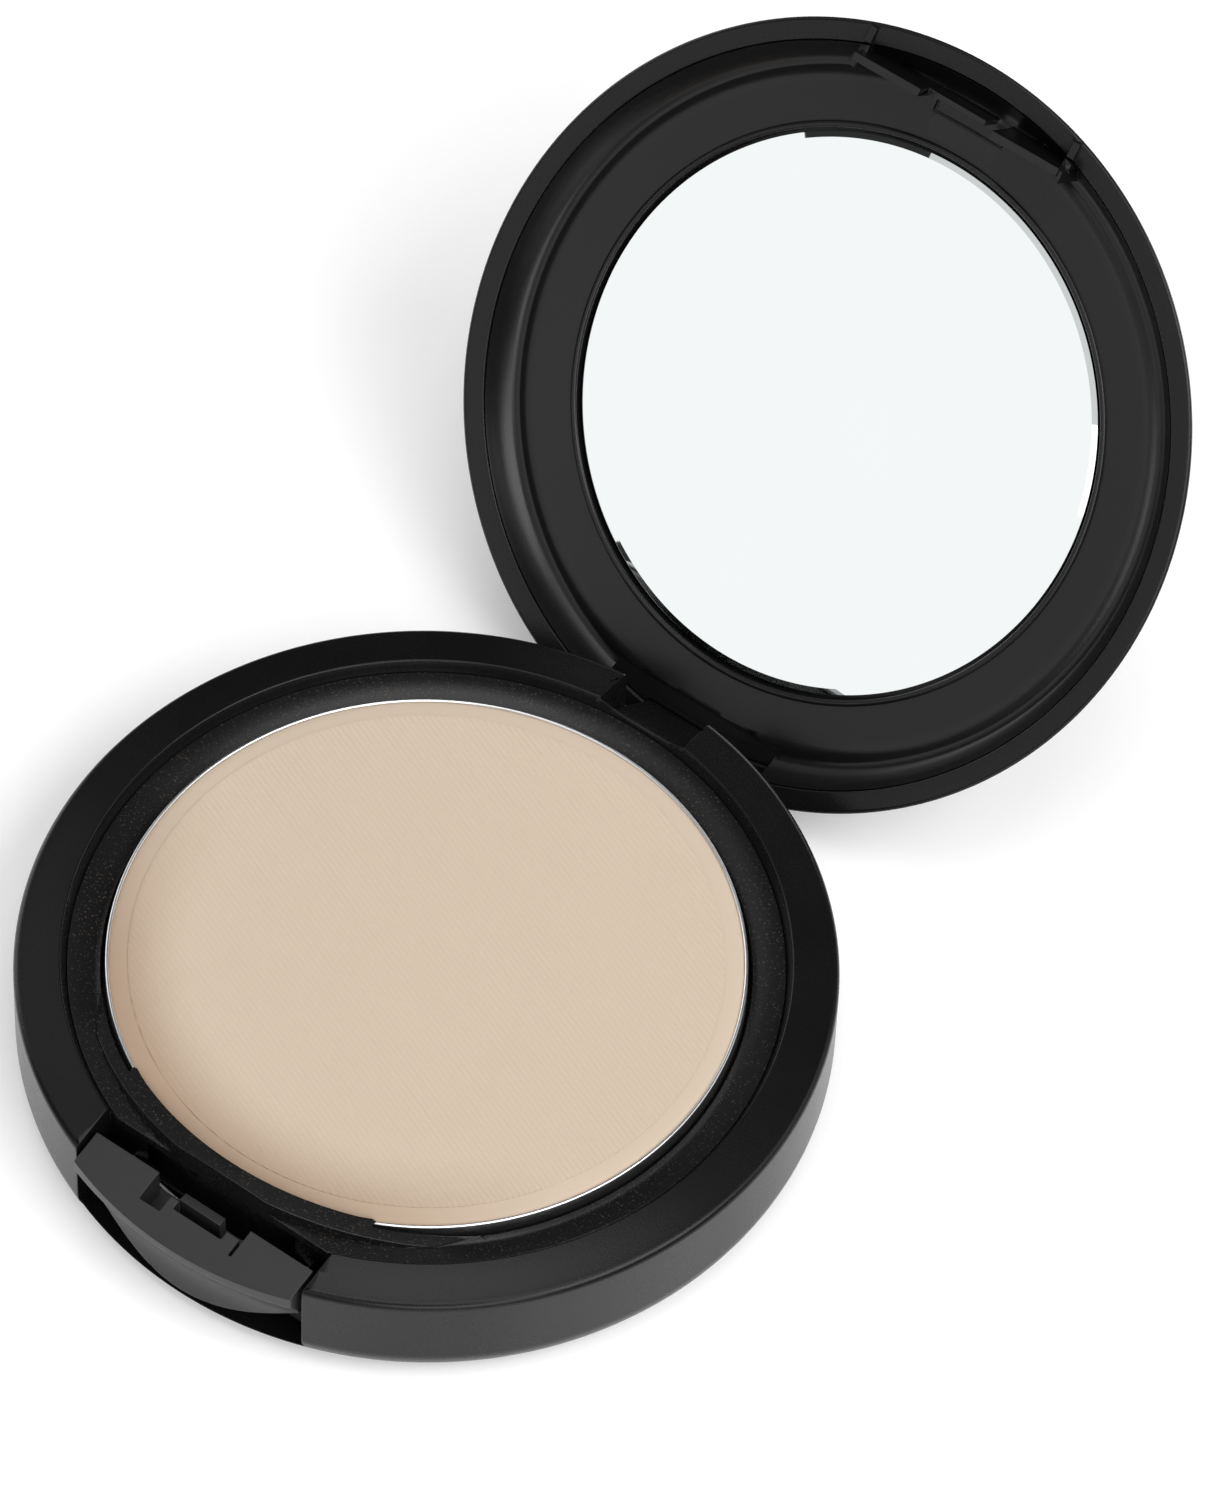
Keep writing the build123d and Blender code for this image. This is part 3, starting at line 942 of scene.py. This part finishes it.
@dataclass
class PanDeck:
    """Deck and well that the pan stands in."""

    outer_radius: float = 33.0
    inner_radius: float = 31.2
    well_radius: float = 29.9
    wall: float = 1.0
    top: float = 11.4
    bevel: float = 0.6
    ledge: float = 10.4
    floor: float = 6.9
    foot: float = 5.7
    front_chord: float = 30.8
    lip_radius: float = 29.2
    lip_under: float = 12.25
    lip_top: float = 13.2
    lip_half: float = 22.0
    join: float = 0.01
    clear: float = 1.0
    front_low: Triple = (-40.0, -40.0, 5.0)
    front_side: float = 40.0
    front_top: float = 14.0

    def lip(self) -> bpy.types.Object:
        """Model the raised lip at the front, highest in the middle.

        Returns:
            The lip.
        """
        outer, inner = self.inner_radius - self.join, self.well_radius + self.join
        outline = [
            (outer, self.ledge + 0.3),
            (outer, self.lip_top),
            (self.lip_radius, self.lip_top),
            (self.lip_radius, self.lip_under),
            (inner, self.lip_under),
            (inner, self.ledge + 0.3),
        ]
        piece = Bench.lathe("lip", outline)
        front = -self.inner_radius - self.clear
        curve = bow(self.lip_half, self.lip_top - self.top + self.bevel, 24)
        corners = [Vector((x, front, self.lip_top - drop)) for x, drop in curve]
        corners += [Vector((side * self.lip_half, front, self.ledge)) for side in (1, -1)]
        arch = Bench.prism("arch", corners, (0.0, self.inner_radius, 0.0))
        return Bench.work(piece, arch, Cut.KEEP)

    def build(self, finish: MouldedPlastic) -> bpy.types.Object:
        """Model and dress the deck.

        Args:
            finish: Its plastic.

        Returns:
            The piece.
        """
        outline = [
            (self.well_radius + self.wall, self.foot),
            (self.well_radius + self.wall, self.ledge),
            (self.outer_radius, self.ledge),
            (self.outer_radius, self.top),
            (self.inner_radius, self.top),
            (self.well_radius, self.top - self.bevel),
            (self.well_radius, self.floor),
            (0.0, self.floor),
        ]
        piece = Bench.lathe("pan_deck", outline, solid=True)
        Bench.work(piece, self.lip(), Cut.JOIN)
        back = (self.front_side, -self.front_chord, self.front_top)
        Bench.chop(piece, Cut.TAKE, "front", self.front_low, back)
        Bench.soften(piece, 0.12)
        return show(piece, Body.BASE, finish.make(), ["pan_tray"])


@dataclass
class PowderPan:
    """Drawn metal dish with a rolled bright rim, and the pressed powder in it."""

    radius: float = 29.5
    sheet: float = 0.35
    rim_height: float = 12.05
    foot: float = 7.05
    floor_round: float = 1.2
    cake_edge: float = 11.80
    cake_top: float = 12.12
    field_radius: float = 27.4
    rib_pitch: float = 0.512
    rib_height: float = 0.10
    rib_angle: float = 68.6

    def dish(self, finish: SheetMetal) -> bpy.types.Object:
        """Model and dress the dish.

        Args:
            finish: Its metal.

        Returns:
            The piece.
        """
        bend = self.floor_round
        half = self.sheet / 2.0
        outline = [
            (self.radius - bend, self.foot),
            *arc((self.radius - bend, self.foot + bend), bend, -80.0, 0.0, 6),
            *arc((self.radius - half, self.rim_height - half), half, 0.0, 180.0, 8),
            *arc((self.radius - bend, self.foot + bend), bend - self.sheet, 0.0, -80.0, 5),
            (self.radius - bend, self.foot + self.sheet),
            (0.5, self.foot + self.sheet),
            (0.5, self.foot),
        ]
        piece = Bench.lathe("powder_dish", outline)
        Bench.shade(piece)
        return show(piece, Body.BASE, finish.make(), ["powder_pan"])

    def ribs(self) -> bpy.types.Object:
        """Model the ribbed slab: one rib, repeated across the field.

        Returns:
            The slab.
        """
        count = int(2.0 * self.field_radius / self.rib_pitch) + 4
        length = 2.0 * self.field_radius + 4.0
        start = -count * self.rib_pitch / 2.0
        low = self.cake_top - 1.0
        side = [
            (0.0, low),
            (self.rib_pitch, low),
            (self.rib_pitch, self.cake_top),
            (self.rib_pitch * 0.75, self.cake_top + self.rib_height * 0.5),
            (self.rib_pitch * 0.5, self.cake_top + self.rib_height),
            (self.rib_pitch * 0.25, self.cake_top + self.rib_height * 0.5),
            (0.0, self.cake_top),
        ]
        corners = [Vector((start + x, -length / 2.0, z)) for x, z in side]
        slab = Bench.prism("ribs", corners, (0.0, length, 0.0))
        bpy.ops.object.mode_set(mode="EDIT")
        bpy.ops.mesh.select_mode(type="FACE")
        bpy.ops.mesh.select_all(action="DESELECT")
        bpy.ops.object.mode_set(mode="OBJECT")
        for face in slab.data.polygons:
            face.select = abs(face.normal.x) > 0.99
        bpy.ops.object.mode_set(mode="EDIT")
        bpy.ops.mesh.delete(type="FACE")
        bpy.ops.object.mode_set(mode="OBJECT")
        row = slab.modifiers.new("row", "ARRAY")
        row.count = count
        row.use_relative_offset = False
        row.use_constant_offset = True
        row.constant_offset_displace = (self.rib_pitch * MM, 0.0, 0.0)
        row.use_merge_vertices = True
        row.merge_threshold = 0.002 * MM
        bpy.ops.object.modifier_apply(modifier=row.name)
        bpy.ops.object.mode_set(mode="EDIT")
        bpy.ops.mesh.select_mode(type="EDGE")
        bpy.ops.mesh.select_all(action="DESELECT")
        bpy.ops.mesh.select_non_manifold()
        bpy.ops.mesh.edge_face_add()
        bpy.ops.object.mode_set(mode="OBJECT")
        slab.matrix_world = Matrix.Rotation(math.radians(self.rib_angle), 4, "Z")
        Bench.settle(slab)
        return Bench.close(slab)

    def cake(self, finish: PressedPowder) -> bpy.types.Object:
        """Model and dress the powder: a smooth border round a ribbed field.

        Args:
            finish: Its powder.

        Returns:
            The piece.
        """
        wall = self.radius - self.sheet - 0.01
        corner = self.floor_round - self.sheet
        floor = self.foot + self.sheet
        outline = [
            (0.6, floor),
            (wall - corner, floor),
            (wall, floor + corner),
            (wall, self.cake_edge),
            (wall - 0.25, self.cake_edge + 0.10),
            (wall - 0.7, self.cake_edge + 0.18),
            (wall - 1.4, self.cake_edge + 0.25),
            (self.field_radius + 0.15, self.cake_top - 0.03),
            (self.field_radius - 0.3, self.cake_top - 0.05),
            (0.0, self.cake_top - 0.05),
        ]
        piece = Bench.lathe("pressed_powder", outline, steps=240, solid=True)
        low, high = self.cake_top - 0.6, self.cake_top + 1.0
        reach = self.field_radius
        drum = Bench.lathe(
            "field", [(1.0, low), (reach, low), (reach, high), (0.0, high)], steps=240, solid=True
        )
        Bench.work(drum, self.ribs(), Cut.KEEP)
        Bench.work(piece, drum, Cut.JOIN)
        Bench.close(piece)
        Bench.shade(piece, 50.0)
        return show(piece, Body.BASE, finish.make(), ["powder_cake"])


@dataclass
class LatchButton:
    """Thumb button with its scooped front, sprung tongue, hook tab and ears."""

    half: float = 12.3
    back: float = 33.25
    reach: float = 38.75
    bottom: float = 2.2
    top_inner: float = 11.75
    top_outer: float = 10.75
    scoop: float = 1.3
    rim_radius: float = 37.9
    ear_half: float = 13.6
    ear_bottom: float = 3.0
    ear_top: float = 8.2
    ear_thickness: float = 1.1
    front_bow: float = 2.1
    blank_height: float = 10.5
    over: float = 14.0

    def blank(self) -> bpy.types.Object:
        """Model the plain block under the sloping top.

        Returns:
            The block.
        """
        front = bow(self.half, self.front_bow, 24)
        corners = [Vector((x, -self.reach + drop, self.bottom)) for x, drop in front]
        corners += [Vector((side * self.half, -self.back, self.bottom)) for side in (1, -1)]
        piece = Bench.prism("latch_thumb", corners, (0.0, 0.0, self.blank_height))
        near, far = -self.back + 1.0, -self.reach - 1.0
        side = [
            (-self.back, self.top_inner),
            (far, self.top_outer - 0.2),
            (far, self.over),
            (near, self.over),
            (near, self.top_inner),
        ]
        return Bench.work(piece, Bench.across("slope", side, 20.0), Cut.TAKE)

    def finger_scoop(self) -> bpy.types.Object:
        """Model what the finger hollow takes away, turned about the upright axis.

        Returns:
            The cutter.
        """
        low = (self.rim_radius - 0.5, self.bottom - 0.3)
        mid = (self.reach - self.scoop - 0.4, 6.0)
        high = (self.reach + 0.2, self.top_outer - 0.7)
        beyond = self.rim_radius + 4.0
        outline = [*through(low, mid, high, 12), (beyond, self.top_outer), (beyond, 0.0)]
        return Bench.lathe("scoop", outline)

    def lower_edge(self) -> bpy.types.Object:
        """Model what rises in an arc under the front.

        Returns:
            The cutter.
        """
        half = self.half + 1.0
        curve = bow(half, self.ear_top - self.bottom, 32)
        corners = [Vector((x, -self.back, self.bottom + drop)) for x, drop in curve]
        corners += [Vector((side * half, -self.back, 0.0)) for side in (1, -1)]
        return Bench.prism("lower_edge", corners, (0.0, -10.0, 0.0))

    def build(self, finish: MouldedPlastic) -> bpy.types.Object:
        """Model and dress the button.

        Args:
            finish: Its plastic.

        Returns:
            The piece.
        """
        piece = self.blank()
        Bench.work(piece, self.finger_scoop(), Cut.TAKE)
        Bench.work(piece, self.lower_edge(), Cut.TAKE)
        front = -self.back - self.ear_thickness / 2.0
        near, top = -self.back + 0.1, self.over
        for how, name, low, high in (
            (
                Cut.JOIN,
                "ears",
                (-self.ear_half, front, self.ear_bottom),
                (self.ear_half, front + self.ear_thickness, self.ear_top),
            ),
            (Cut.TAKE, "notch", (-5.10, -self.back - 3.0, self.ear_top), (-2.80, near, top)),
            (Cut.TAKE, "slit", (4.95, -self.back - 3.0, self.ear_top), (5.25, near, top)),
            (Cut.TAKE, "recess", (-2.90, -self.back - 1.25, self.ear_top), (5.00, near, top)),
            (Cut.TAKE, "window", (-1.90, -self.back - 2.15, self.ear_top), (3.50, -self.back, top)),
            (
                Cut.JOIN,
                "tab",
                (-2.0, -self.back - 1.15, self.ear_top - 0.6),
                (2.6, -self.back - 0.2, self.top_inner - 0.25),
            ),
        ):
            Bench.chop(piece, how, name, low, high)
        Bench.soften(piece, 0.10)
        return show(piece, Body.BUTTON, finish.make(), ["latch_button"])


# ------------------------------------------------------------------- the lid


@dataclass
class LidPart:
    """What the lid's cover and liner share: the slot at the hinge and the catch's ribs."""

    slot_half: float = 9.2
    slot_inner: float = 31.1
    slot_foot: float = 11.0
    slot_height: float = 15.4
    catch_half: float = 11.4
    rib_wall: float = 0.85
    rib_height: float = 11.95

    def cut_slot(self, piece: bpy.types.Object, reach: float) -> None:
        """Cut the slot at the hinge, from its inner side out to a reach."""
        low = (-self.slot_half, self.slot_inner, self.slot_foot)
        Bench.chop(piece, Cut.TAKE, "slot", low, (self.slot_half, reach, self.slot_height))


@dataclass
class LidCover(LidPart):
    """Lid cover, modelled shut: domed top, round side, flat rim and hinge lug."""

    side_radius: float = 28.6
    side_height: float = 10.05
    side_round: float = 9.0
    wall: float = 1.1
    edge_radius: float = 37.282
    edge_height: float = 12.42
    rim_inner_radius: float = 35.15
    rim_inner_height: float = 12.5
    crown: float = 0.45
    floor: float = 17.45
    lug_half: float = 4.6
    lug_root: float = 33.7
    bore: float = 0.55
    rib_reach: float = 35.1
    rib_run: float = 1.7
    rib_top: float = 12.9

    def outline(self) -> Outline:
        """Give the cover's section from the underside to the top.

        Returns:
            The section.
        """
        centre = (self.side_radius, self.side_height)
        sphere = (self.side_radius**2 + self.crown**2) / (2.0 * self.crown)
        top = self.side_height + self.side_round
        dome = []
        for share in (0.85, 0.7, 0.55, 0.4, 0.25, 0.1):
            out = self.side_radius * share
            dome.append((out, top + self.crown - sphere + math.sqrt(sphere**2 - out**2)))
        inner = self.side_round - self.wall
        high = math.degrees(math.asin((self.floor - self.side_height) / inner))
        low = math.degrees(math.acos((self.rim_inner_radius - self.side_radius) / inner))
        start = math.degrees(math.asin((self.edge_height - self.side_height) / self.side_round))
        return [
            (self.side_radius * 0.6, self.floor),
            *arc(centre, inner, high, low, 8),
            (self.rim_inner_radius, self.rim_inner_height),
            LUG_TOE,
            *arc(centre, self.side_round, start, 90.0, 22),
            *dome,
            (0.0, top + self.crown),
        ]

    def lug(self, hinge: Hinge) -> bpy.types.Object:
        """Model the lug that reaches down to the pin.

        Args:
            hinge: The hinge line.

        Returns:
            The lug.
        """
        pin = (hinge.y, hinge.z)
        side = [
            (hinge.y - LUG_KNUCKLE, self.floor - 0.4),
            *arc(pin, LUG_KNUCKLE, 180.0, 360.0, 12),
            LUG_TOE,
            (self.edge_radius - 0.05, self.edge_height),
            LUG_HEEL,
            (self.lug_root, self.floor - 0.4),
        ]
        piece = Bench.across("lug", side, self.lug_half)
        bore = Bench.across("bore", arc(pin, self.bore, 0.0, 345.0, 23), 6.0)
        return Bench.work(piece, bore, Cut.TAKE)

    def build(self, hinge: Hinge, finish: MouldedPlastic) -> bpy.types.Object:
        """Model and dress the cover, and swing it open.

        Args:
            hinge: The hinge line.
            finish: Its plastic.

        Returns:
            The piece.
        """
        piece = Bench.lathe("lid_cover", self.outline(), solid=True)
        self.cut_slot(piece, self.edge_radius + 1.0)
        Bench.work(piece, self.lug(hinge), Cut.JOIN)
        for side in (-1, 1):
            rib, half = side * self.catch_half, self.rib_wall / 2
            low = (rib - half, -self.rib_reach, self.rib_height)
            high = (rib + half, self.rib_run - self.rib_reach, self.rib_top)
            Bench.chop(piece, Cut.JOIN, "rib", low, high)
        Bench.soften(piece, 0.12)
        hinge.swing(piece)
        return show(piece, Body.LID, finish.make(), ["lid_shell"])


@dataclass
class MirrorSurround(LidPart):
    """Liner of the lid: a bead round the mirror, a slope, the cove and the catch bar."""

    inner_radius: float = 26.85
    bead: float = 0.32
    bead_height: float = 15.35
    inner_height: float = 15.65
    crest_radius: float = 31.9
    crest_height: float = 15.0
    crest_fillet: tuple[Point, ...] = ((-0.25, 0.07), (0.15, 0.12), (0.55, 0.27), (0.85, 0.41))
    cove_radius: float = 33.0
    cove_height: float = 15.5
    radius: float = 35.05
    edge_height: float = 12.6
    heel_height: float = 14.37
    back: float = 17.43
    back_radius: float = 31.27
    lug_half: float = 4.75
    lug_inner: float = 33.25
    lug_top: float = 18.0
    catch_outer: float = 32.55
    catch_wall: float = 0.85
    catch_gap: float = 4.0
    catch_slit: float = 1.6
    tip: float = 10.3
    mid_tip: float = 12.3
    mark_radius: float = 31.0
    mark_width: float = 7.8
    mark_height: float = 1.9
    mark_line: float = 0.16
    mark_depth: float = 0.07

    def slope(self) -> float:
        """Give the slope's angle in radians."""
        run = self.crest_radius - self.inner_radius - 2.0 * self.bead
        return math.atan2(self.inner_height - self.crest_height, run)

    def outline(self) -> Outline:
        """Give the liner's section, from the bead out to the rim and back behind.

        Returns:
            The section.
        """
        centre = (self.inner_radius + self.bead, self.bead_height + self.bead)
        out, up = self.crest_radius, self.crest_height
        fall = math.tan(self.slope())
        middle = (self.radius - 0.75, self.cove_height - 1.2)
        start, end = (self.cove_radius, self.cove_height), (self.radius, self.edge_height)
        cove = through(start, middle, end, 10)[1:]
        return [
            *arc(centre, self.bead, 180.0, 360.0, 12),
            (centre[0] + self.bead + 0.04, self.inner_height),
            (out - 1.2, up + 1.2 * fall),
            (out - 0.7, up + 0.7 * fall + 0.005),
            *((out + wide, up + high) for wide, high in self.crest_fillet),
            *cove,
            (self.radius, self.heel_height),
            (self.cove_radius + 0.2, self.cove_height + 0.75),
            (self.back_radius, self.back),
            (self.inner_radius, self.back),
        ]

    def catch(self) -> Iterator[tuple[str, Triple, Triple]]:
        """Give the catch bar's blocks: two arms with their end ribs, and the low middle.

        Yields:
            Each block's name and its lowest and highest corners.
        """
        root = self.cove_height + 0.35
        face = -self.catch_outer
        for side in (-1, 1):
            left, right = sorted((side * self.catch_gap, side * (self.catch_half + 0.1)))
            yield "arm", (left, face, self.tip), (right, face + self.catch_wall, root)
            left = side * self.catch_half - self.rib_wall / 2
            right = side * self.catch_half + self.rib_wall / 2
            yield "rib", (left, face + 0.25, self.tip + 0.4), (right, face + 1.5, root + 0.01)
            low = (left - 0.005, -self.radius, self.rib_height)
            yield "rib_end", low, (right + 0.005, face + 0.3, root + 0.02)
        far = face + self.catch_wall * 0.7
        low = (-self.catch_gap - 0.1, face + 0.01, self.mid_tip)
        yield "middle", low, (self.catch_gap - self.catch_slit, far, root - 0.01)

    def trim(self) -> bpy.types.Object:
        """Model what is beyond the liner's back, which the catch bar's roots stop at.

        Returns:
            The cutter.
        """
        edge, beyond = self.radius + 0.015, self.radius + 4.0
        top, foot = self.back + 0.02, self.tip - 0.5
        outline = [
            (self.back_radius + 0.02, top),
            (self.cove_radius + 0.22, self.cove_height + 0.77),
            (edge, self.heel_height + 0.02),
            (edge, foot),
            (beyond, foot),
            (beyond, top),
        ]
        return Bench.lathe("beyond", outline)

    def mark(self, piece: bpy.types.Object) -> None:
        """Cut the faint square outline into the slope.

        Args:
            piece: The liner.
        """
        wide, tall, line = self.mark_width / 2.0, self.mark_height / 2.0, self.mark_line
        rise = (self.crest_radius - self.mark_radius) * math.tan(self.slope())
        place = Matrix.Translation((0.0, -self.mark_radius * MM, (self.crest_height + rise) * MM))
        lean = Matrix.Rotation(self.slope(), 4, "X")
        for left, right, near, far in (
            (-wide, wide, -tall, line - tall),
            (-wide, wide, tall - line, tall),
            (-wide, line - wide, -tall, tall),
            (wide - line, wide, -tall, tall),
        ):
            groove = Bench.block("mark", (left, near, -0.6), (right, far, self.mark_depth))
            groove.matrix_world = place @ lean
            Bench.settle(groove)
            Bench.work(piece, groove, Cut.TAKE)

    def build(self, hinge: Hinge, finish: MouldedPlastic) -> bpy.types.Object:
        """Model and dress the liner, and swing it open.

        Args:
            hinge: The hinge line.
            finish: Its plastic.

        Returns:
            The piece.
        """
        piece = Bench.lathe("mirror_surround", self.outline())
        for name, low, high in self.catch():
            Bench.chop(piece, Cut.JOIN, name, low, high)
        Bench.work(piece, self.trim(), Cut.TAKE)
        self.cut_slot(piece, self.radius + 1.0)
        low = (-self.lug_half, self.lug_inner, self.slot_foot)
        Bench.chop(piece, Cut.TAKE, "opening", low, (self.lug_half, self.radius + 1.0, self.lug_top))
        Bench.soften(piece, 0.10, from_degrees=35.0)
        self.mark(piece)
        Bench.shade(piece)
        hinge.swing(piece)
        return show(piece, Body.LID, finish.make(), ["mirror_frame"])


@dataclass
class MirrorDisc:
    """Round mirror with a bevelled edge."""

    radius: float = 26.45
    face: float = 15.9
    glass: float = 1.35
    bevel: float = 0.55
    bevel_depth: float = 0.1

    def build(self, hinge: Hinge, finish: SilveredGlass) -> bpy.types.Object:
        """Model and dress the mirror, and swing it open.

        Args:
            hinge: The hinge line.
            finish: Its glass.

        Returns:
            The piece.
        """
        outline = [
            (self.radius - self.bevel, self.face),
            (self.radius, self.face + self.bevel_depth),
            (self.radius, self.face + self.glass),
            (0.0, self.face + self.glass),
        ]
        piece = Bench.lathe("mirror_disc", outline, solid=True)
        Bench.hold(piece)
        bpy.ops.object.shade_smooth_by_angle(angle=math.radians(5.0))
        hinge.swing(piece)
        return show(piece, Body.LID, finish.make(), ["mirror"])


# --------------------------------------------------------- pieces that stay CAD


@dataclass
class HiddenWorks:
    """Pieces whose shape is already right, which only get their finish."""

    finishes: dict[str, Any] = field(
        default_factory=lambda: {
            "base_plate": MouldedPlastic("cover_plastic", 0.016, 0.5, grain_mm=0.3),
            "base_label": PulpedSheet("label_stock", (0.78, 0.78, 0.76), 0.75, 0.5),
            "pan_adhesive": PulpedSheet("pan_glue", (0.72, 0.70, 0.64), 0.4, 1.6),
            "hinge_pin": SheetMetal("pin_steel", (0.60, 0.60, 0.61), 0.28),
            "latch_spring": SheetMetal("spring_steel", (0.52, 0.53, 0.55), 0.32),
            "mirror_adhesive": PulpedSheet("mirror_pad", (0.80, 0.79, 0.76), 0.6, 1.2),
        }
    )

    def build(self) -> None:
        """Dress each node."""
        for name, finish in self.finishes.items():
            node = frame["nodes"][name]
            node.data.materials.clear()
            node.data.materials.append(finish.make())
            LOG.info("%s: frame piece, dressed", name)


# -------------------------------------------------------------------- studio


@dataclass
class SoftBox:
    """One rectangular light that faces the compact."""

    name: str
    place: Triple
    size: Point
    watts: float
    colour: Triple = (1.0, 1.0, 1.0)
    aim: Triple = (0.0, 0.02, 0.02)

    def hang(self) -> bpy.types.Object:
        """Make the light and turn it to the compact.

        Returns:
            The light.
        """
        lamp = bpy.data.lights.new(self.name, "AREA")
        lamp.shape = "RECTANGLE"
        lamp.size, lamp.size_y = self.size
        lamp.energy = self.watts
        lamp.color = self.colour
        made = bpy.data.objects.new(self.name, lamp)
        bpy.context.scene.collection.objects.link(made)
        made.location = self.place
        look = Vector(self.aim) - Vector(self.place)
        made.rotation_euler = look.to_track_quat("-Z", "Y").to_euler()
        return made


@dataclass
class Viewpoint:
    """Where the camera stands: a long lens, looking down at the front right."""

    azimuth: float = 34.204
    elevation: float = 54.034
    roll: float = -2.654
    distance: float = 872.35
    aside: float = -16.446
    below: float = 23.864
    lift: float = 3.8
    focal_px: float = 9444.6
    tall_px: float = 1500.0
    sensor: float = 36.0

    def place(self) -> bpy.types.Object:
        """Make the camera and use it.

        Returns:
            The camera.
        """
        az, el, turn = (math.radians(a) for a in (self.azimuth, self.elevation, self.roll))
        back = Vector(
            (math.sin(az) * math.cos(el), -math.cos(az) * math.cos(el), math.sin(el))
        )
        ahead = -back
        right = Vector((math.cos(az), math.sin(az), 0.0))
        down = ahead.cross(right)
        right2 = right * math.cos(turn) + down * math.sin(turn)
        down2 = down * math.cos(turn) - right * math.sin(turn)
        spot = right2 * -self.aside - down2 * self.below - ahead * self.distance
        spot.z += self.lift
        lens = bpy.data.cameras.new("long_lens")
        lens.sensor_width = self.sensor
        lens.lens = self.focal_px * self.sensor / self.tall_px
        lens.clip_start = 0.05
        lens.clip_end = 50.0
        camera = bpy.data.objects.new("long_lens", lens)
        bpy.context.scene.collection.objects.link(camera)
        camera.matrix_world = Matrix(
            (
                (right2.x, -down2.x, back.x, spot.x * MM),
                (right2.y, -down2.y, back.y, spot.y * MM),
                (right2.z, -down2.z, back.z, spot.z * MM),
                (0.0, 0.0, 0.0, 1.0),
            )
        )
        bpy.context.scene.camera = camera
        return camera


@dataclass
class Studio:
    """White table, soft boxes, pale surroundings and the camera."""

    boxes: list[SoftBox] = field(
        default_factory=lambda: [
            SoftBox("overhead", (0.0, 0.0, 1.30), (0.8, 0.8), 5.2),
            SoftBox("front_high", (-0.10, -0.85, 0.95), (0.8, 0.8), 1.4),
            SoftBox("mirror_card", (-0.45, -1.20, 0.50), (1.3, 0.9), 3.9),
            SoftBox("front_right", (0.80, -0.80, 0.60), (0.8, 0.8), 7.0),
            SoftBox("left_high", (-0.85, 0.10, 0.95), (0.8, 0.8), 1.3),
            SoftBox("left_low", (-1.25, 0.10, 0.35), (0.8, 0.6), 3.8),
            SoftBox("right_high", (0.85, 0.0, 0.95), (0.8, 0.8), 10.2),
            SoftBox("rear_right", (0.85, 0.80, 0.60), (0.8, 0.8), 2.6),
        ]
    )
    surround: float = 0.03
    floor_size: float = 6.0

    def build(self) -> None:
        """Set up the studio."""
        Bench.clear()
        bpy.ops.mesh.primitive_plane_add(size=self.floor_size, location=(0.0, 0.0, 0.0))
        floor = bpy.context.object
        floor.name = "table"
        floor.data.materials.append(StudioFloor().make())
        world = bpy.data.worlds.new("studio_air")
        world.use_nodes = True
        air = world.node_tree.nodes["Background"]
        air.inputs["Color"].default_value = rgba(1.0, 1.0, 1.0)
        air.inputs["Strength"].default_value = self.surround
        bpy.context.scene.world = world
        for box in self.boxes:
            box.hang()
            LOG.info("light %s", box.name)
        Viewpoint().place()
        bpy.context.scene.view_settings.view_transform = "Standard"


def main() -> None:
    """Build the compact round its frame."""
    logging.basicConfig(level=logging.INFO, format="%(name)s: %(message)s")
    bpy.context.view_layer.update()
    hinge = Hinge.from_frame()
    shell = MouldedPlastic("shell_plastic", 0.004, 0.27, shine=0.24)
    BaseBody().build(hinge, shell)
    PanDeck().build(MouldedPlastic("deck_plastic", 0.005, 0.28, dust=0.2, shine=0.32))
    pan = PowderPan()
    pan.dish(SheetMetal("pan_aluminium", (0.83, 0.83, 0.84), 0.30))
    pan.cake(PressedPowder())
    LatchButton().build(MouldedPlastic("button_plastic", 0.014, 0.34, grain_mm=0.2, shine=0.38))
    LidCover().build(hinge, MouldedPlastic("cover_shell_plastic", 0.004, 0.27, shine=0.24))
    MirrorSurround().build(hinge, MouldedPlastic("surround_plastic", 0.004, 0.30, shine=0.32))
    MirrorDisc().build(hinge, SilveredGlass())
    HiddenWorks().build()
    Studio().build()


if __name__ == "__main__":
    main()
